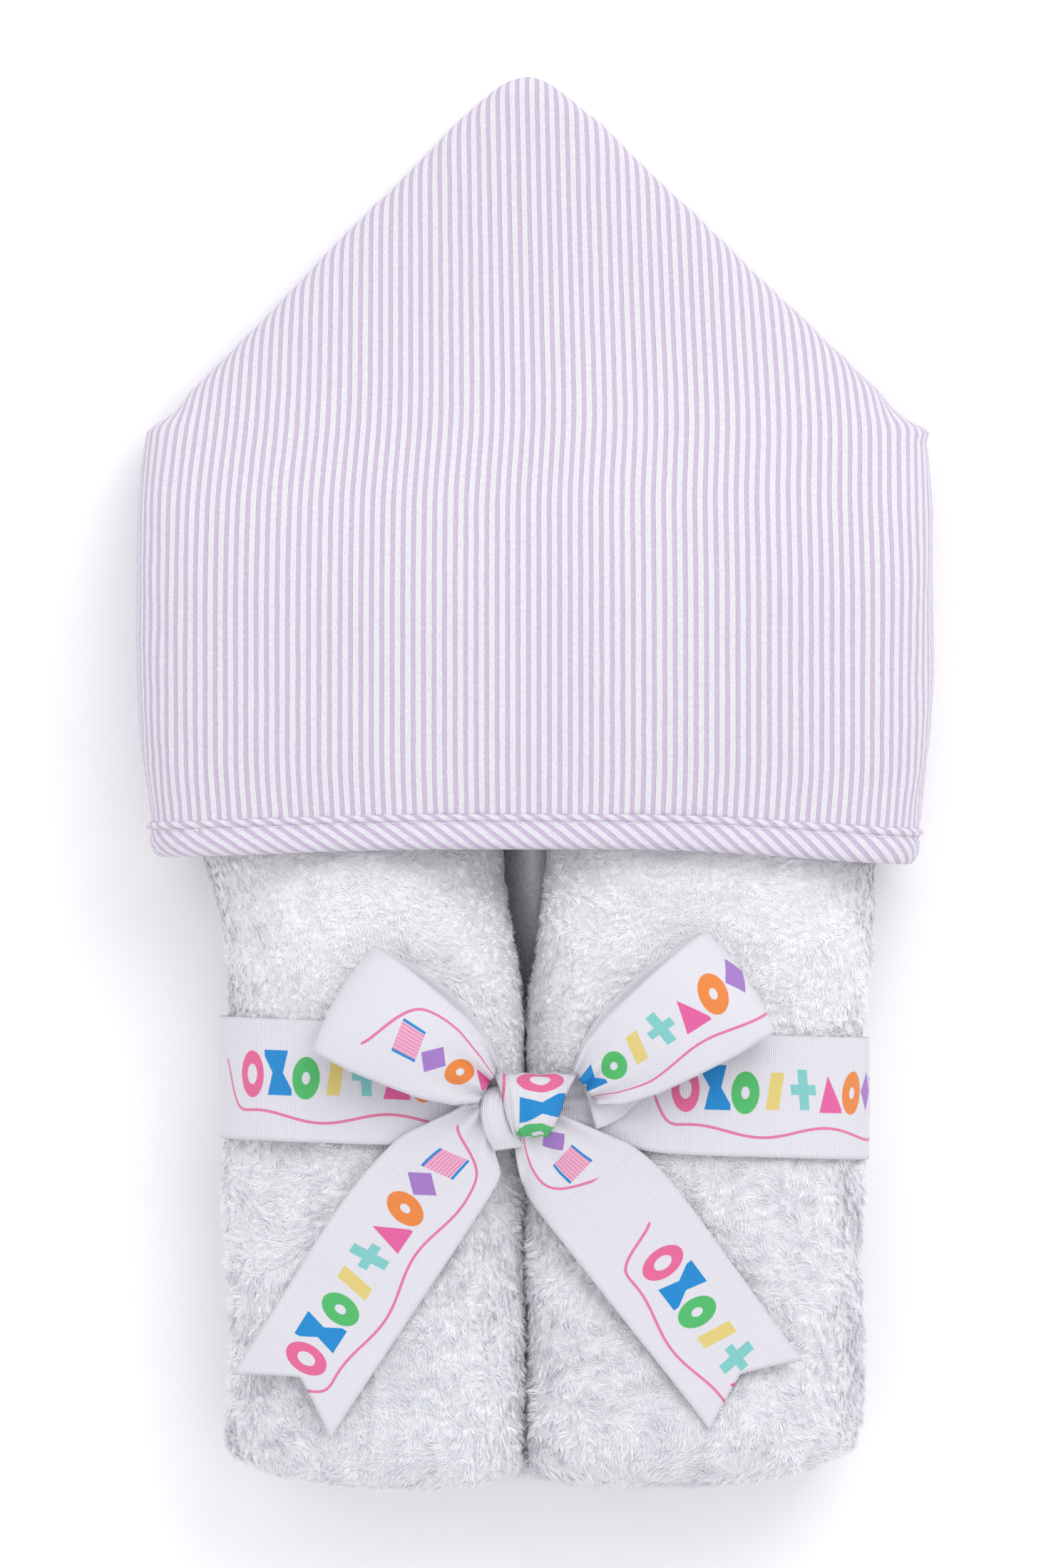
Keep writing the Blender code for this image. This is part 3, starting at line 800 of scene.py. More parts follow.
def tufts(name, surface, u, v, u_length, looks, rng):
    """Tufts of pile about places u, v of a surface, on the side that v across u looks to.

    Each tuft's looks are the way it lies, its lean, its length, its tilt and its tone. Its strands
    draw together at their tips. u_length is about how many metres one unit of u is long.
    """
    flow, lean, length, tilt, tone = looks
    tuft = np.repeat(np.arange(len(u)), TUFT_STRANDS)
    count = len(tuft)
    aside, ahead = rng.normal(0.0, TUFT_REACH, (2, count))
    u, v = u[tuft] + aside / u_length, v[tuft] + ahead
    step = 0.0002
    root = surface(u, v)
    along_u = unit(surface(u + step / u_length, v) - surface(u - step / u_length, v))
    along_v = unit(surface(u, v + step) - surface(u, v - step))
    normal = unit(np.cross(along_v, along_u))

    flow = (flow[tuft] + rng.normal(0.0, 0.16, count))[:, None]
    lean = (lean[tuft] + rng.normal(0.0, 0.08, count))[:, None]
    tilt = tilt[tuft][:, None]
    long = (length[tuft] * rng.uniform(0.8, 1.2, count))[:, None]
    way = along_u * np.cos(flow) + along_v * np.sin(flow)
    direction = normal * np.cos(lean) + way * np.sin(lean)
    drawn = 0.6 * (along_u * aside[:, None] + along_v * ahead[:, None])
    level = unit(np.cross(direction, normal))
    up = np.cross(level, direction)
    radius = (STRAND_RADIUS * rng.uniform(0.7, 1.4, count))[:, None]
    wide = (level * np.cos(tilt) + up * np.sin(tilt)) * radius
    under = (up * np.cos(tilt) - level * np.sin(tilt)) * radius
    tone = tone[tuft] + rng.normal(0.0, 0.5, count)
    return strands(name, root, root + direction * long - drawn, wide, under, tone)


def tufts_on_roll(name, side, turn, w, rng):
    """Tufts at the given turns round a roll and places along it, flat under the ribbon."""
    u = side * (1 + turn)
    centre = towel_at(u, w)
    x, y = centre[:, 0], centre[:, 1]
    size = len(turn)
    flow = 1.6 * waves(x, y, 0.05, 5 + side) - 0.5 * math.pi + rng.normal(0.0, 0.5, size)
    flow += 0.9 * waves(turn * 0.04, y, 0.016, 8 + side)
    # 1 towards the rolls' lower end: the pile there is shaggier, and its tone is darker as painted
    # shade
    shaggy_and_shaded = smoothstep((MOUTH_Y - 0.035 - y) / 0.07)
    lean = 1.2 - 0.12 * shaggy_and_shaded + 0.14 * waves(x, y, 0.012, 21 + side)
    lean = np.maximum(lean + (0.08 + 0.06 * shaggy_and_shaded) * rng.normal(0.0, 1.0, size), 0.8)
    from_band = np.abs(y - BAND_Y - BAND_SKEW * x)
    pressed = smoothstep((RIBBON_WIDTH / 2 + 0.001 - from_band) / 0.002)
    lean = lean + (1.33 - lean) * pressed
    length = STRAND_LENGTH * (1 - 0.3 * pressed) * rng.uniform(0.75, 1.3, size)
    length = length * (0.7 + 0.3 * shaggy_and_shaded)
    tilt = (0.2 + 0.12 * shaggy_and_shaded) * rng.normal(0.0, 1.0, size)
    uneven = (0.2 + 0.3 * shaggy_and_shaded) * rng.normal(0.0, 1.0, size)
    # tone picks the pile yarn, lighter to darker: it differs at random, and rises towards the lower
    # end as painted shade
    tone = 0.7 + 1.3 * shaggy_and_shaded + uneven + 0.3 * waves(x, y, 0.006, 77)
    pile = tufts(name, towel_at, u, w, 0.035, (flow, lean, length, tilt, tone), rng)
    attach(pile, "towel")


def build_towel_pile():
    """Pile on each roll: thick on top of it, thinner on its sides and on the laps at its end."""
    reach = FOLD_QUARTER + MOUTH_Y + 0.020 - ROLL_END_Y
    for side, word in ((-1, "left"), (1, "right")):
        for layer in (1, 2):
            rng = np.random.default_rng(20 * layer + side)
            turn = turns_between(side, 1.0, 4.5, TOP_TUFTS, rng)
            w = rng.uniform(-0.5 * FOLD_QUARTER, reach, len(turn))
            tufts_on_roll(f"towel_pile_{word}_top_{layer}", side, turn, w, rng)
        rng = np.random.default_rng(60 + side)
        turn = turns_between(side, 0.2, 1.0, OUTSIDE_TUFTS, rng)
        turn = np.append(turn, turns_between(side, 4.5, 5.2, CLEFT_TUFTS, rng))
        w = rng.uniform(-0.6 * FOLD_QUARTER, reach, len(turn))
        turn = np.append(turn, turns_between(side, 4.5, 2 * math.pi * ROLL_TURNS, END_TUFTS, rng))
        w = np.append(w, rng.uniform(-FOLD_QUARTER, 1.2 * FOLD_QUARTER, END_TUFTS))
        tufts_on_roll(f"towel_pile_{word}_side", side, turn, w, rng)
        turn = turns_between(side, 1.0, 4.6, IN_HOOD_TUFTS, rng)
        w = rng.uniform(reach, reach + ROLL_TOP_Y - MOUTH_Y - 0.022, IN_HOOD_TUFTS)
        tufts_on_roll(f"towel_pile_{word}_in_hood", side, turn, w, rng)


# ---- hood ----


def peak_share(y):
    """0 up to the rounded part of the peak, and 1 at its tip."""
    return np.clip((y - PEAK_ROUND_Y) / (PEAK_TIP_Y - PEAK_ROUND_Y), 0.0, 1.0)


def hood_side(y, side):
    """X of the hood's outline: side is -1 on the left and 1 on the right."""
    line = hood_line_left if side < 0 else hood_line_right
    middle = (hood_line_left(PEAK_ROUND_Y) + hood_line_right(PEAK_ROUND_Y)) / 2
    start = line(PEAK_ROUND_Y) - middle
    rounded = middle + start * (1 - peak_share(y) ** 1.25) ** 0.6
    return np.where(y > PEAK_ROUND_Y, rounded, line(y))


def hood_left(y):
    return hood_side(y, -1)


def hood_right(y):
    return hood_side(y, 1)


def shoulder(x, y):
    """How far the folded corner at each shoulder stands out of the hood's outline."""
    corner = np.where(x < 0, 0.0014, 0.0032) * bell(y - SHOULDER_Y, 0.0024)
    return corner - 0.0016 * bell(y - SHOULDER_DIP_Y, 0.004)


def hood_at(y, angle, depth=0.0):
    """A point of the hood, depth below its skin. angle is 0 at the right side fold, a quarter turn
    on top of the front, a half turn at the left side fold, and three quarters under the back."""
    y, angle, depth = np.broadcast_arrays(y, angle, depth)
    left = hood_left(y) + depth * slope_stretch(hood_left, y)
    right = hood_right(y) - depth * slope_stretch(hood_right, y)
    fold = hood_fold(y)
    front = np.sin(angle) >= 0
    rounder = smoothstep((y - 0.085) / 0.045)
    power = np.where(front, FRONT_POWER + (PEAK_POWER - FRONT_POWER) * rounder, BACK_POWER)
    half = np.maximum((right - left) / 2, 0.0002)
    aside = signed_power(np.cos(angle), 2 / power)
    x = (left + right) / 2 + half * aside
    x = x + np.sign(x) * shoulder(x, y) * smoothstep((np.abs(aside) - 0.86) / 0.14)
    away = np.abs(np.sin(angle)) ** (2 / power)
    away = np.where(front, away, np.minimum(1.0, BACK_FLATTENING * away))
    away = away * np.sqrt(1 - np.minimum(peak_share(y), 0.999) ** 2)
    top = hood_top(y) - depth * slope_stretch(hood_top, y)
    z = fold + (np.where(front, top, depth) - fold) * away
    droop = np.where(x < 0, LEFT_DROOP, RIGHT_DROOP) * smoothstep(np.abs(x) / 0.118 - 0.15) ** 1.3
    fade = 1 - smoothstep((y - MOUTH_Y) / 0.05)
    return np.stack([x, y - droop * fade, z], axis=-1)


def away_from_fold(angles):
    """The way out of the hood: up over its front, and down under its back."""
    return np.sin(angles)[:, None] * (0.0, 0.0, 1.0)


def hood_angles(front_spacing, back_spacing):
    """Angles round the hood that lie evenly apart, from under the middle of the back."""
    whole = np.linspace(0, math.pi, 6000)
    front = even_values(whole, hood_at(HOOD_GIRTH_Y, whole), front_spacing)
    whole = np.linspace(-math.pi / 2, 0, 3000)
    back = even_values(whole, hood_at(HOOD_GIRTH_Y, whole), back_spacing)
    return np.concatenate([back[:-1], front[:-1], math.pi - back[::-1][:-1]])


def hood_cloth(grid, angles):
    """Place of each point in the flat cloth: round the hood from the middle of its front, and
    along Y. The stripes draw together a little towards the peak and at the face edge."""
    steps = np.linalg.norm(np.roll(grid, -1, axis=1) - grid, axis=2)
    run = np.concatenate([np.zeros((len(grid), 1)), np.cumsum(steps, axis=1)], axis=1)
    top = np.argmin(np.abs(angles - math.pi / 2))
    y = grid[:, top, 1][:, None]
    draw = 1 + 0.05 * smoothstep((y - 0.05) / 0.16) + 0.02 * (1 - smoothstep((y - MOUTH_Y) / 0.03))
    across = -(run - run[:, top : top + 1]) * draw
    along = np.broadcast_to(y, across.shape)
    return np.stack([across, along], axis=-1)


def hood_wrinkles(grid):
    """How far the outer cloth stands out from a smooth hood."""
    x, y, z = grid[..., 0], grid[..., 1], grid[..., 2]
    broad = 0.00055 * waves(x, y + z, 0.055, 31)
    small = 0.00022 * waves(1.6 * x, y + z, 0.014, 32)
    near_mouth = np.exp(-np.maximum(y - MOUTH_Y - 0.009, 0) / 0.011)
    gathers = 0.00028 * near_mouth * waves(x + 0.8 * z, 0.15 * y, 0.0062, 33)
    crinkle = 0.00010 * waves(x, y + z, 0.0042, 34, count=11)
    return broad + small + gathers + crinkle


def blend_with_mouth(piece):
    """Bakes the piece's place into the points of its mesh."""
    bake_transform(piece)


def build_hood_outer():
    angles = hood_angles(0.0017, 0.0032)
    peak = np.sin(np.linspace(0, 0.47 * math.pi, 10)) * (PEAK_TIP_Y - PEAK_ROUND_Y)
    rows = np.arange(MOUTH_Y + 0.006, PEAK_ROUND_Y - 0.001, 0.0017)
    rows = np.concatenate([rows, PEAK_ROUND_Y + peak])
    smooth = hood_at(rows[:, None], angles[None, :])
    normal = facing(normals_of(smooth, True), away_from_fold(angles))
    lift = np.where(smooth[..., 2] < 0.002, 0.0, hood_wrinkles(smooth))
    lift = normal * (lift * (1 - peak_share(rows))[:, None])[..., None]
    tucked = rows - OUTER_CLOTH * smoothstep((rows - 0.205) / 0.01)
    outer = smooth + lift
    inner = hood_at(tucked[:, None], angles[None, :], OUTER_CLOTH) + lift
    cloth = hood_cloth(smooth, angles)
    hood = thick_sheet("hood_outer", outer, inner, cloth, SEERSUCKER, closed=True)
    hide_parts("hood_outer_front", "hood_outer_back")
    blend_with_mouth(hood)


def build_hood_lining():
    angles = hood_angles(0.0040, 0.0060)
    rows = np.arange(MOUTH_Y + 0.002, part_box("hood_lining_front")[1].y, 0.0040)
    depth = OUTER_CLOTH + CLOTH_GAP
    outer = hood_at(rows[:, None], angles[None, :], depth)
    inner = hood_at(rows[:, None], angles[None, :], depth + LINING_CLOTH)
    normal = normals_of(inner, True)
    inner = inner + normal * 0.0003 * waves(inner[..., 0], inner[..., 1], 0.009, 41)[..., None]
    lining = thick_sheet("hood_lining", outer, inner, hood_cloth(outer, angles), TERRY, closed=True)
    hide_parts("hood_lining_front", "hood_lining_back")
    blend_with_mouth(lining)


def build_lining_pile():
    """Pile on the inside of the hood's front, where its lining shows when the hood is open."""
    rng = np.random.default_rng(90)
    count = LINING_TUFTS
    depth = OUTER_CLOTH + CLOTH_GAP + LINING_CLOTH - 0.0002
    y = rng.uniform(MOUTH_Y + 0.008, 0.185, count)
    turns = np.linspace(0.06, math.pi - 0.06, 600)
    run = run_lengths(hood_at(HOOD_GIRTH_Y, turns))
    angle = np.interp(rng.uniform(0, run[-1], count), run, turns)
    flow = 1.5 * waves(angle * 0.09, y, 0.04, 94) + rng.normal(0.0, 0.5, count)
    lean = np.full(count, 1.2)
    length = 0.8 * STRAND_LENGTH * rng.uniform(0.75, 1.3, count)
    tilt = rng.normal(0.0, 0.5, count)
    tone = 1.3 + 0.9 * rng.normal(0.0, 1.0, count)
    looks = (flow, lean, length, tilt, tone)
    pile = tufts("hood_lining_pile", lambda u, v: hood_at(v, -u, depth), -angle, y, 0.09, looks, rng)
    blend_with_mouth(pile)


BINDING_SECTION = (  # (distance above the face edge, height over the outer cloth), outside to inside
    (0.0112, 0.0001),
    (0.0107, 0.0009),
    (0.0100, 0.0014),
    (0.0092, 0.0011),
    (0.0087, 0.0003),
    (0.0082, 0.0004),
    (0.0070, 0.0011),
    (0.0045, 0.0014),
    (0.0020, 0.0010),
    (0.0005, -0.0002),
    (0.0000, -0.0022),
    (0.0004, -0.0046),
    (0.0020, -0.0062),
    (0.0060, -0.0066),
    (0.0100, -0.0062),
)


def build_binding():
    """Bias strip over the face edge, with a puckered ridge where it is sewn to the hood."""
    end = -0.62  # the strip starts under the right side, this angle past the side fold
    whole = np.linspace(end, math.pi - end, 6000)
    angles = even_values(whole, hood_at(MOUTH_Y + STRIP_MIDDLE, whole), BINDING_STEP)
    line = hood_at(MOUTH_Y + STRIP_MIDDLE, angles)
    run = run_lengths(line)
    section = smooth_path(BINDING_SECTION, 0.0006)
    girth = run_lengths(section)
    above, height = section[:, :1], section[:, 1:]
    outside = height > 0
    normal = normals_of(hood_at(MOUTH_Y + np.array([[0.0], [0.004], [0.008]]), angles))[1]
    normal = facing(normal, away_from_fold(angles))
    pitch = STRIPE_REPEAT / math.sin(math.radians(BIAS_DEGREES))
    twist = np.sin(2 * math.pi * (run + 1.4 * above) / pitch)
    ridge = 0.00022 * twist + 0.00010 * waves(run, 0.0, 0.003, 51)
    height = height + bell(above - RIDGE_ABOVE, 0.0007) * outside * ridge
    ripple = 0.00018 * waves(run, 2 * above, 0.006, 52)
    strip = bell(above - STRIP_ABOVE, 0.003) * outside
    height = height + strip * ripple
    outer = hood_at(MOUTH_Y + above, angles) + normal * height[..., None]
    skin = facing(normals_of(outer), normal * strip[..., None])
    inner = outer - skin * BINDING_CLOTH
    cloth = cloth_places(run, girth[:, None])
    binding = thick_sheet("hood_face_binding", outer, inner, cloth, BIAS_SEERSUCKER)
    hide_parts("hood_binding", "binding_left_end", "binding_right_end")
    blend_with_mouth(binding)

    stitches(angles, normal, run)


def stitches(angles, normal, run):
    """Top stitching in the ditch under the binding's ridge, one thread spindle for each stitch."""
    spacing, length, radius, sides = 0.0026, 0.0021, 0.00019, 6
    centres = np.arange(0.004, run[-1] - 0.004, spacing)[:, None]
    stations = np.linspace(-1, 1, 7)
    at = np.interp(centres + stations * length / 2, run, angles)
    out = np.stack([np.interp(at, angles, normal[:, i]) for i in range(3)], axis=-1)
    wobble = 0.00012 * np.sin(2.3 * np.arange(len(centres)))[:, None]
    arch = 0.00055 - 0.00030 * stations**2
    spine = hood_at(MOUTH_Y + DITCH_ABOVE + wobble, at) + out * arch[:, None]
    side = np.cross(unit(np.gradient(spine, axis=1)), out)
    thick = radius * np.sqrt(np.maximum(1 - 0.97 * stations**2, 0.0))
    ring = 2 * math.pi * np.arange(sides)[:, None] / sides
    offset = out[:, :, None] * np.cos(ring) + side[:, :, None] * np.sin(ring)
    points = (spine[:, :, None] + offset * thick[:, None, None]).reshape(-1, 3)
    low = np.arange(len(points)).reshape(-1, len(stations), sides)
    high = np.roll(low, -1, axis=2)
    quads = np.stack([low[:, :-1], high[:, :-1], high[:, 1:], low[:, 1:]], axis=-1)
    faces = quads.reshape(-1, 4).tolist() + low[:, 0, ::-1].tolist() + low[:, -1].tolist()
    row = new_piece("face_topstitch", points, faces, THREAD)
    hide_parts("binding_topstitch")
    blend_with_mouth(row)


def tube(name, line, width, height, finish, spacing):
    """A closed cord of oval section along a line of points, as wide and high as given."""
    line = smooth_path(line, spacing)
    ahead = unit(np.gradient(line, axis=0))
    level = unit(np.cross(ahead, (0.0, 0.0, 1.0)))
    up = np.cross(level, ahead)
    angle = np.linspace(0, 2 * math.pi, 12, endpoint=False)[None, :, None]
    across = level[:, None] * np.cos(angle) * width / 2
    outer = line[:, None] + across + up[:, None] * np.sin(angle) * height / 2
    inner = line[:, None] + 0.2 * (outer - line[:, None])
    run = run_lengths(line)
    cloth = cloth_places(np.linspace(0, width * 2, 13)[None, :], run[:, None])
    return thick_sheet(name, outer, inner, cloth, finish, closed=True)


def build_seams():
    """The welt where the hood's back joins the towel, and the overlocked seam inside the hood."""
    low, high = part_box("neck_seam")
    x = np.linspace(low.x + 0.002, high.x - 0.002, 60)
    pucker = 0.0006 * waves(x, 0.0, 0.02, 91)
    middle_y, middle_z = (low.y + high.y) / 2, (low.z + high.z) / 2
    line = np.stack([x, middle_y + pucker, middle_z + 0.2 * pucker], axis=1)
    welt = tube("neck_seam_welt", line, high.y - low.y - 0.002, high.z - low.z - 0.0006, TERRY, 0.002)
    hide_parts("neck_seam")
    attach(welt, "towel")

    low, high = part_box("hood_back_seam")
    y = np.arange(low.y + 0.001, high.y - 0.001, 0.0016)
    x = (low.x + high.x) / 2 + 0.4 * (high.x - low.x) * np.where(np.arange(len(y)) % 2, 1, -1)
    line = np.stack([x, y, np.full_like(y, (low.z + high.z) / 2)], axis=1)
    overlock = tube("hood_back_overlock", line, 0.0008, high.z - low.z, THREAD, 0.0008)
    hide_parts("hood_back_seam")
    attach(overlock, "towel")


# ---- ribbon ----


def roll_surface_height(x, y):
    """Height of the top of the rolls at a place seen from above."""
    left = x < (INNER_SIDES[0](y) + INNER_SIDES[1](y)) / 2
    inner, outer = roll_sides(left, y)
    aside = (x - (inner + outer) / 2) / np.abs(outer - inner) * 2
    share = np.clip(np.abs(aside), 0, 0.999)
    aside = np.where(left, -aside, aside)
    power = np.where(aside < 0, cleft_power(left, y), ROLL_POWER)
    middle = (roll_top(y) + roll_bottom(y)) / 2
    return middle + (roll_top(y) - middle) * (1 - share**power) ** (1 / power)


def band_line():
    """(x, z) points round the bundle, from under its middle up its right side."""
    lift = 0.0007
    top = roll_top(BAND_Y) + lift
    bottom = band_low.z + RIBBON_THICKNESS / 2
    line = []
    for side, index in ((1, 1), (-1, 0)):
        inner, outer = INNER_SIDES[index](BAND_Y), OUTER_SIDES[index](BAND_Y)
        half = abs(outer - inner) / 2 + lift
        angle = np.linspace(-math.pi / 2, math.pi / 2, 80)
        x = (inner + outer) / 2 + side * half * np.cos(angle) ** (2 / ROLL_POWER)
        z = (top + bottom) / 2 + (top - bottom) / 2 * signed_power(np.sin(angle), 2 / ROLL_POWER)
        arc = np.stack([x, z], axis=1)
        line.append(arc if side > 0 else arc[::-1])
    return np.concatenate(line)


def build_band():
    line = band_line()
    line = np.concatenate([line, line[:1]])
    run = run_lengths(line)
    even = np.linspace(0, run[-1], int(run[-1] / RIBBON_STEP) + 1)
    x, z = (np.interp(even, run, line[:, i]) for i in (0, 1))
    shares = np.linspace(-0.5, 0.5, 25)
    out_x, out_z = np.gradient(z), -np.gradient(x)
    size = np.hypot(out_x, out_z)
    gather = np.exp(-np.abs((x - KNOT_X) / BAND_GATHER_REACH) ** 2.4) * (z > band_high.z / 2)
    middle = BAND_Y + BAND_SKEW * x
    middle = middle + (KNOT_Y - middle) * gather
    rows = []
    for share in shares:
        wave = 0.00045 * waves(even, share * 0.03, 0.03, 61) * (2 * abs(share)) ** 2
        wave = wave * (z > 0.004) + 0.0007 * gather * (math.cos(7 * math.pi * share) - 0.5)
        y = middle + share * RIBBON_WIDTH * (1 - 0.62 * gather)
        rows.append(np.stack([x + out_x / size * wave, y, z + out_z / size * wave], axis=1)[:-1])
    grid = np.stack(rows)
    start_x, start_z = BAND_PRINT_START
    first_motif = even[np.argmin(np.hypot(x - start_x, z - start_z))]
    place = first_motif + MOTIF_PITCH / 2 - even
    cloth = cloth_places((shares * RIBBON_WIDTH)[:, None], place[None, :])
    band = ribbon_sheet("ribbon_round_bundle", grid, cloth, grid.mean(axis=(0, 1)), closed=True)
    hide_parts("ribbon_band")
    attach(band, "ribbon")


def joint_frame(name):
    """A bow joint's place, the way its ribbon runs out from the knot, and the way across it."""
    root = np.array(joints[name]["pos_m"])
    axis = joints[name]["axis"]
    along = unit(np.array((-axis[1], axis[0], 0.0)))
    across = np.array((-along[1], along[0], 0.0))
    return root, along, across if across[1] > 0 else -across


def reach_of(node, root, along):
    """How far the CAD node reaches from a joint's place."""
    return ((points_of(node) - root) @ along).max()


LOOP_SIDE = (  # (share of the loop's length, height over its root, 1 on the lower ply)
    (0.02, -0.0012, 1.0),
    (0.15, -0.0030, 1.0),
    (0.40, -0.0037, 1.0),
    (0.70, -0.0037, 1.0),
    (0.92, -0.0032, 0.8),
    (1.00, 0.0006, 0.5),
    (0.95, 0.0062, 0.2),
    (0.80, 0.0098, 0.0),
    (0.60, 0.0110, 0.0),
    (0.38, 0.0098, 0.0),
    (0.15, 0.0055, 0.0),
    (0.02, 0.0016, 0.0),
)


LOOP_HALF_WIDTHS = (  # (share of the loop's length, half of its width there)
    (0.00, 0.0055),
    (0.07, 0.0082),
    (0.14, 0.0110),
    (0.32, 0.0144),
    (0.55, 0.0166),
    (0.78, 0.0184),
    (1.00, 0.0190),
)


def build_loop(node, joint, seed, place_at_knot, bulge):
    """One loop of the bow: out from the knot, over a soft fold, and back on top of itself.
    bulge is how far the lower ply stands out below the knot."""
    root, along, across = joint_frame(joint)
    length = reach_of(node, root, along)
    side = [(share * length, height, 0.0, lower) for share, height, lower in LOOP_SIDE]
    path = smooth_path(side, 0.0015)
    a, height, lower = path[:, :1], path[:, 1:2], path[:, 3:4]
    run = run_lengths(path[:, :2])[:, None]
    half = np.interp(a / length, *zip(*LOOP_HALF_WIDTHS))
    c = np.linspace(-1, 1, 25)[None, :]
    near = bell(a, 0.013)
    belly = np.sin(math.pi * np.clip(a / length, 0, 1))
    camber = 0.0030 * (1 - lower) * belly**0.7
    pleats = 0.0016 * near * np.cos(3.1 * math.pi * c + seed)
    ripple = 0.0005 * waves(a, 0.02 * c, 0.028, seed)
    z = height + camber * (0.35 - c**2) + pleats * (1 - 1.6 * lower) + ripple
    out = bulge * lower * near * np.clip(-c, 0, 1)
    wide = half * c + 0.0026 * lower * belly - out
    far = a + 0.0022 * (a / length) ** 2 * (1 - c**2) - 0.7 * out
    grid = root + far[..., None] * along + wide[..., None] * across
    grid[..., 2] += z
    place = place_at_knot + run[-1] - run
    cloth = cloth_places(np.sign(along[0]) * c * RIBBON_WIDTH / 2, place)
    loop = ribbon_sheet(node + "_ribbon", grid, cloth, grid.mean(axis=(0, 1)))
    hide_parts(node)
    lift_from_knot(loop)


def lift_from_knot(piece):
    """Bakes the piece's place into the points of its mesh."""
    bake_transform(piece)


def tail_edge(points, length, shares):
    """One edge of a tail, as places along and across it at shares of its length."""
    line = [(a / MM, c / MM, 0.0) for a, c in points]
    line = smooth_path([*line, (length, points[-1][1] / MM, 0.0)], 0.001)
    run = run_lengths(line)
    return tuple(np.interp(shares * run[-1], run, line[:, i]) for i in (0, 1))


def build_tail(node, joint, seed, edges, notch, first_motif, outward, tucked):
    """One tail of the bow, lying over its roll, with a swallow-tail end. edges has points along
    and across each edge in millimetres, the lower edge first. first_motif is where the printed
    row starts, and outward is 1 where it runs away from the knot. tucked is the length of ribbon
    folded away near the knot."""
    root, along, across = joint_frame(joint)
    length = reach_of(node, root, along)
    tuck = TUCK_AT / length
    share = np.append(np.linspace(0, 1, int(length / RIBBON_STEP)), (tuck, tuck + TUCK_SHARE))
    share = np.sort(share)
    low_a, low_c = tail_edge(edges[0], length, share)
    high_a, high_c = tail_edge(edges[1], length, share)
    c = np.linspace(-1, 1, 25)[None, :]
    share = share[:, None]
    blend = (1 + c) / 2
    a = low_a[:, None] * (1 - blend) + high_a[:, None] * blend
    a = a - notch * (1 - np.abs(c)) ** 0.9 * share**3
    wide = low_c[:, None] * (1 - blend) + high_c[:, None] * blend
    place = root[:2] + a[..., None] * along[:2] + wide[..., None] * across[:2]
    x, y = place[..., 0], place[..., 1]
    lying = roll_surface_height(x, y) + TAIL_CLEARANCE
    flat = root[2] - 0.0018
    reach = smoothstep((a + 0.006) / 0.03)
    z = root[2] * (1 - reach) + (flat + np.minimum(lying - flat, 0.0) * 0.55) * reach
    near = bell(a + 0.004, 0.012)
    z = z + 0.0010 * near * np.cos(2.6 * math.pi * c + seed)
    z = z + 0.0007 * waves(a, 0.3 * wide, 0.045, seed) * reach + 0.0004 * reach * c**2
    grid = np.stack([x, y, z], axis=-1)
    printed = outward * (a - first_motif) + MOTIF_PITCH / 2
    printed = printed - tucked * (share < tuck + TUCK_SHARE / 2)
    cloth = cloth_places(c * RIBBON_WIDTH / 2, printed)
    tail = ribbon_sheet(node + "_ribbon", grid, cloth, grid.mean(axis=(0, 1)) - (0, 0, 1))
    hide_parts(node)
    lift_from_knot(tail)
    size = (RIBBON_WIDTH, length + 0.008)
    area = 0.9 * size[0] * size[1]


LEFT_TAIL_EDGES = (
    ((-9, -8), (1, -12.1), (5.5, -16.9), (9, -18.2), (20.5, -18.6), (60, -18.2), (90, -17.8)),
    ((-12, 1), (-2, 5.5), (5.4, 10.1), (16, 15.6), (39, 19), (70, 19), (90, 18.6)),
)
RIGHT_TAIL_EDGES = (
    ((-11, -11.1), (-5.4, -14.6), (2.2, -17.9), (11, -19.3), (40, -18.8), (85, -17.8)),
    ((-8, 4), (5.8, 11.9), (16, 17), (31.7, 19.3), (60, 19), (85, 18.4)),
)


def build_knot_wrap():
    """A short length of ribbon drawn tight over the middle of the bow."""
    middle_z = KNOT_TOP - KNOT_HALF_HEIGHT
    t = np.linspace(-0.6 * math.pi, 0.6 * math.pi, 60)[:, None]
    c = np.linspace(-1, 1, 41)[None, :]
    y = KNOT_Y - 0.0096 * signed_power(np.sin(t), 2 / 2.7)
    rise = KNOT_HALF_HEIGHT * signed_power(np.cos(t), 2 / 2.5)
    down = (np.sin(t) + 1) / 2
    left = -0.0126 + 0.0062 * down
    right = 0.0131 - 0.0092 * down
    x = (left + right) / 2 + (right - left) / 2 * c
    z = middle_z + rise * (1 - 0.42 * np.abs(c) ** 3.2)
    fold = bell(c + 0.80, 0.30) + 0.5 * bell(c - 0.85, 0.2)
    ripple = 0.00045 * fold * np.cos(9 * math.pi * c + 1.4 * t)
    ripple = ripple + 0.00022 * np.cos(3 * math.pi * c - 1.5 * t)
    y = y - ripple * np.sin(t)
    z = z + ripple * np.cos(t)
    grid = np.stack(np.broadcast_arrays(x, y, z), axis=-1)
    run = run_lengths(grid[:, 20])[:, None]
    place = 1.5 * MOTIF_PITCH + run - run[len(run) // 2]
    cloth = cloth_places(x, place)
    wrap = ribbon_sheet("ribbon_knot_wrap", grid, cloth, grid.mean(axis=(0, 1)) - (0, 0, 0.02))
    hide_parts("ribbon_knot")
    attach(wrap, "ribbon")


KNOT_FOLD_LINE = (  # (x, y from the knot's middle, height over its top)
    (-0.0100, 0.0060, -0.0082),
    (-0.0117, 0.0025, -0.0052),
    (-0.0120, -0.0025, -0.0044),
    (-0.0106, -0.0085, -0.0050),
    (-0.0080, -0.0135, -0.0072),
)


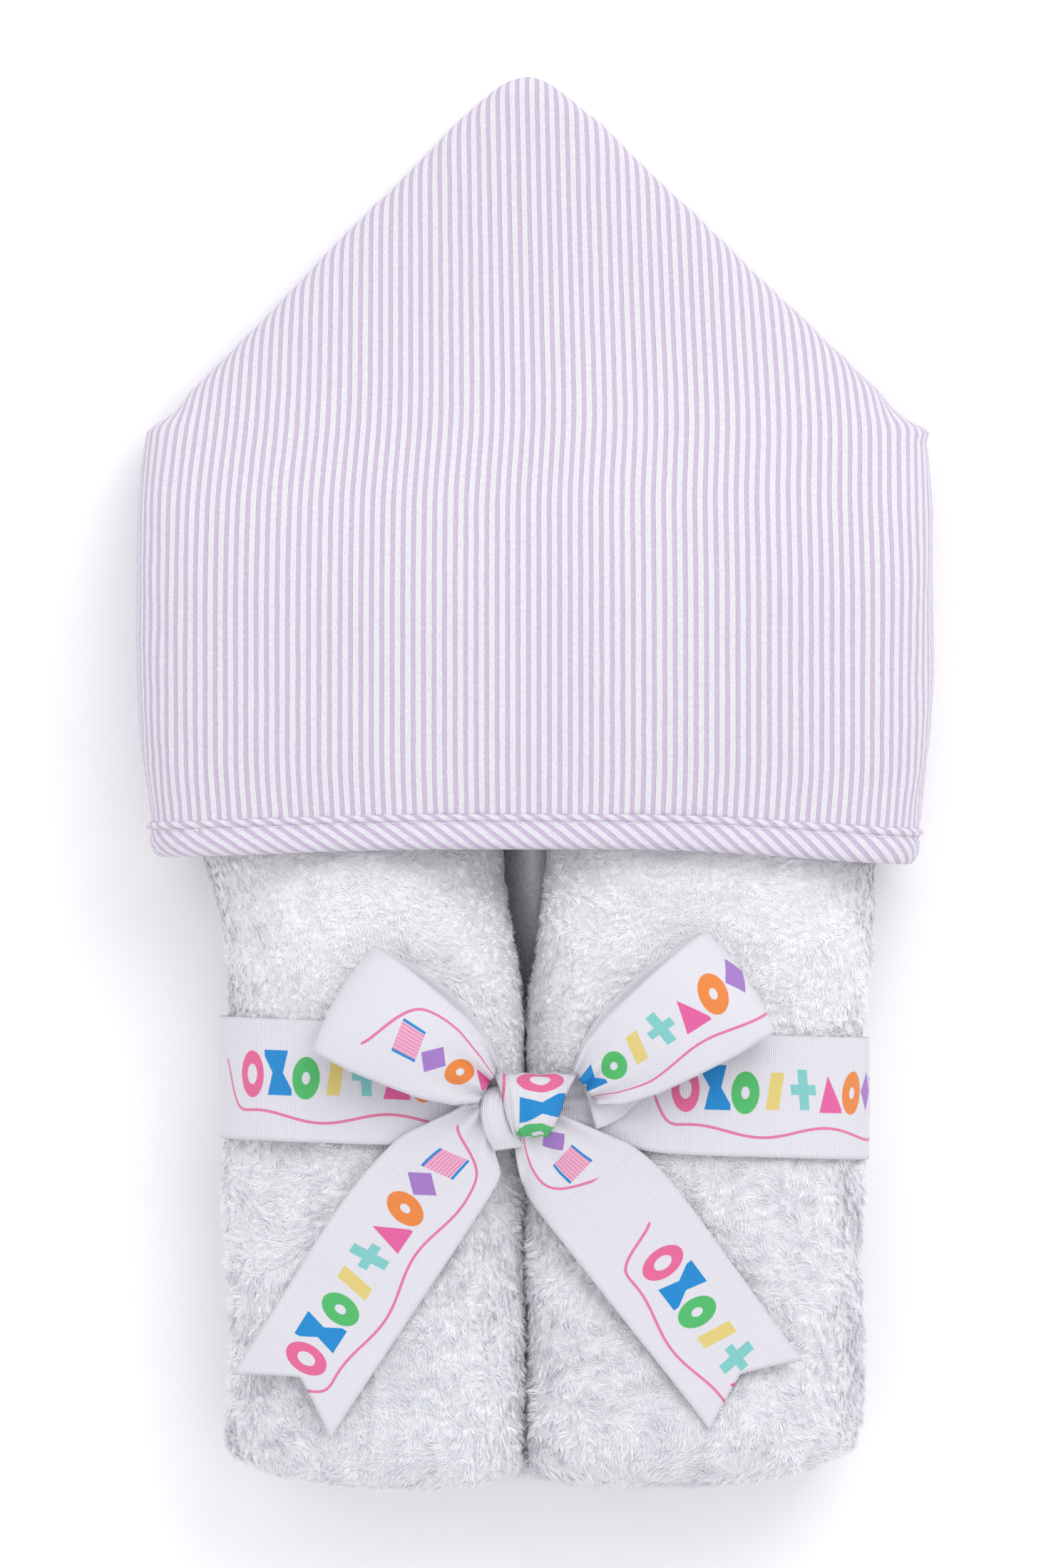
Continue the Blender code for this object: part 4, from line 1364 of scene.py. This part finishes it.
def build_knot_fold():
    """The fold where the left tail comes out from under the knot."""
    line = smooth_path([(x, KNOT_Y + y, KNOT_TOP + z) for x, y, z in KNOT_FOLD_LINE], 0.0008)
    c = np.linspace(-1, 1, 15)[None, :]
    x = line[:, :1] + 0.0046 * c
    y = line[:, 1:2] + 0.0006 * c
    z = line[:, 2:3] - 0.0022 * np.abs(c) ** 2.5 + 0.0002 * np.cos(5 * math.pi * c)
    grid = np.stack(np.broadcast_arrays(x, y, z), axis=-1)
    cloth = cloth_places(-y, 0.120 + 0.0046 * c)
    fold = ribbon_sheet("ribbon_knot_fold", grid, cloth, grid.mean(axis=(0, 1)) - (0, 0, 0.02))
    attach(fold, "ribbon")


# ---- floor, light and camera ----


def build_floor():
    below = min(cad_box[0].z, 0.0) - 0.0006
    bpy.ops.mesh.primitive_plane_add(size=6.0, location=(0, 0, below))
    floor = bpy.context.object
    floor.name = "floor"
    m = Shading("floor")
    speck = m.noise(m.object_place(), 60.0, 3.0)
    colour = m.mix(speck, FLOOR_SHADE, PURE_WHITE)
    floor.data.materials.append(m.finish(colour, 0.9, 0.0, m.bump(speck, 0.0001, 0.1)))


def build_lights():
    world = bpy.data.worlds.new("studio")
    world.use_nodes = True
    background = world.node_tree.nodes["Background"]
    background.inputs["Color"].default_value = (0.975, 0.98, 1.0, 1.0)
    background.inputs["Strength"].default_value = 0.97
    bpy.context.scene.world = world

    aim = Vector((0, 0, 0.03))
    for name, place, width, power in (
        ("key", (0.65, 0.95, 1.45), 1.1, 9.5),
        ("fill", (-1.0, 0.3, 1.5), 1.4, 1.5),
    ):
        light = bpy.data.lights.new(name, "AREA")
        light.size = width
        light.energy = power
        lamp = bpy.data.objects.new(name, light)
        lamp.location = place
        lamp.rotation_euler = (aim - lamp.location).to_track_quat("-Z", "Y").to_euler()
        bpy.context.scene.collection.objects.link(lamp)


def build_camera():
    """A camera straight above, far enough away for the photograph's flat look."""
    distance = 6.0
    seen_length = 0.4889
    camera = bpy.data.objects.new("camera", bpy.data.cameras.new("camera"))
    camera.data.sensor_fit = "AUTO"
    camera.data.sensor_width = 36.0
    camera.data.lens = camera.data.sensor_width * distance / seen_length
    camera.location = (-0.0037, -0.0004, 0.04 + distance)
    bpy.context.scene.collection.objects.link(camera)
    bpy.context.scene.camera = camera
    bpy.context.scene.view_settings.view_transform = "Standard"


build_towel()
build_towel_pile()
build_hood_outer()
build_hood_lining()
build_lining_pile()
build_binding()
build_seams()
build_band()
build_loop(
    "bow_loop_left",
    "left_loop_lift",
    seed=71,
    place_at_knot=0.0495,
    bulge=0.0015,
)
build_loop(
    "bow_loop_right",
    "right_loop_lift",
    seed=72,
    place_at_knot=0.0110,
    bulge=0.0065,
)
build_tail(
    "bow_tail_left",
    "left_tail_lift",
    seed=73,
    edges=LEFT_TAIL_EDGES,
    notch=0.0113,
    first_motif=0.0873,
    outward=-1,
    tucked=0.0,
)
build_tail(
    "bow_tail_right",
    "right_tail_lift",
    seed=74,
    edges=RIGHT_TAIL_EDGES,
    notch=0.0085,
    first_motif=0.0484,
    outward=1,
    tucked=0.0205,
)
build_knot_wrap()
build_knot_fold()
build_floor()
build_lights()
build_camera()

bpy.context.view_layer.update()
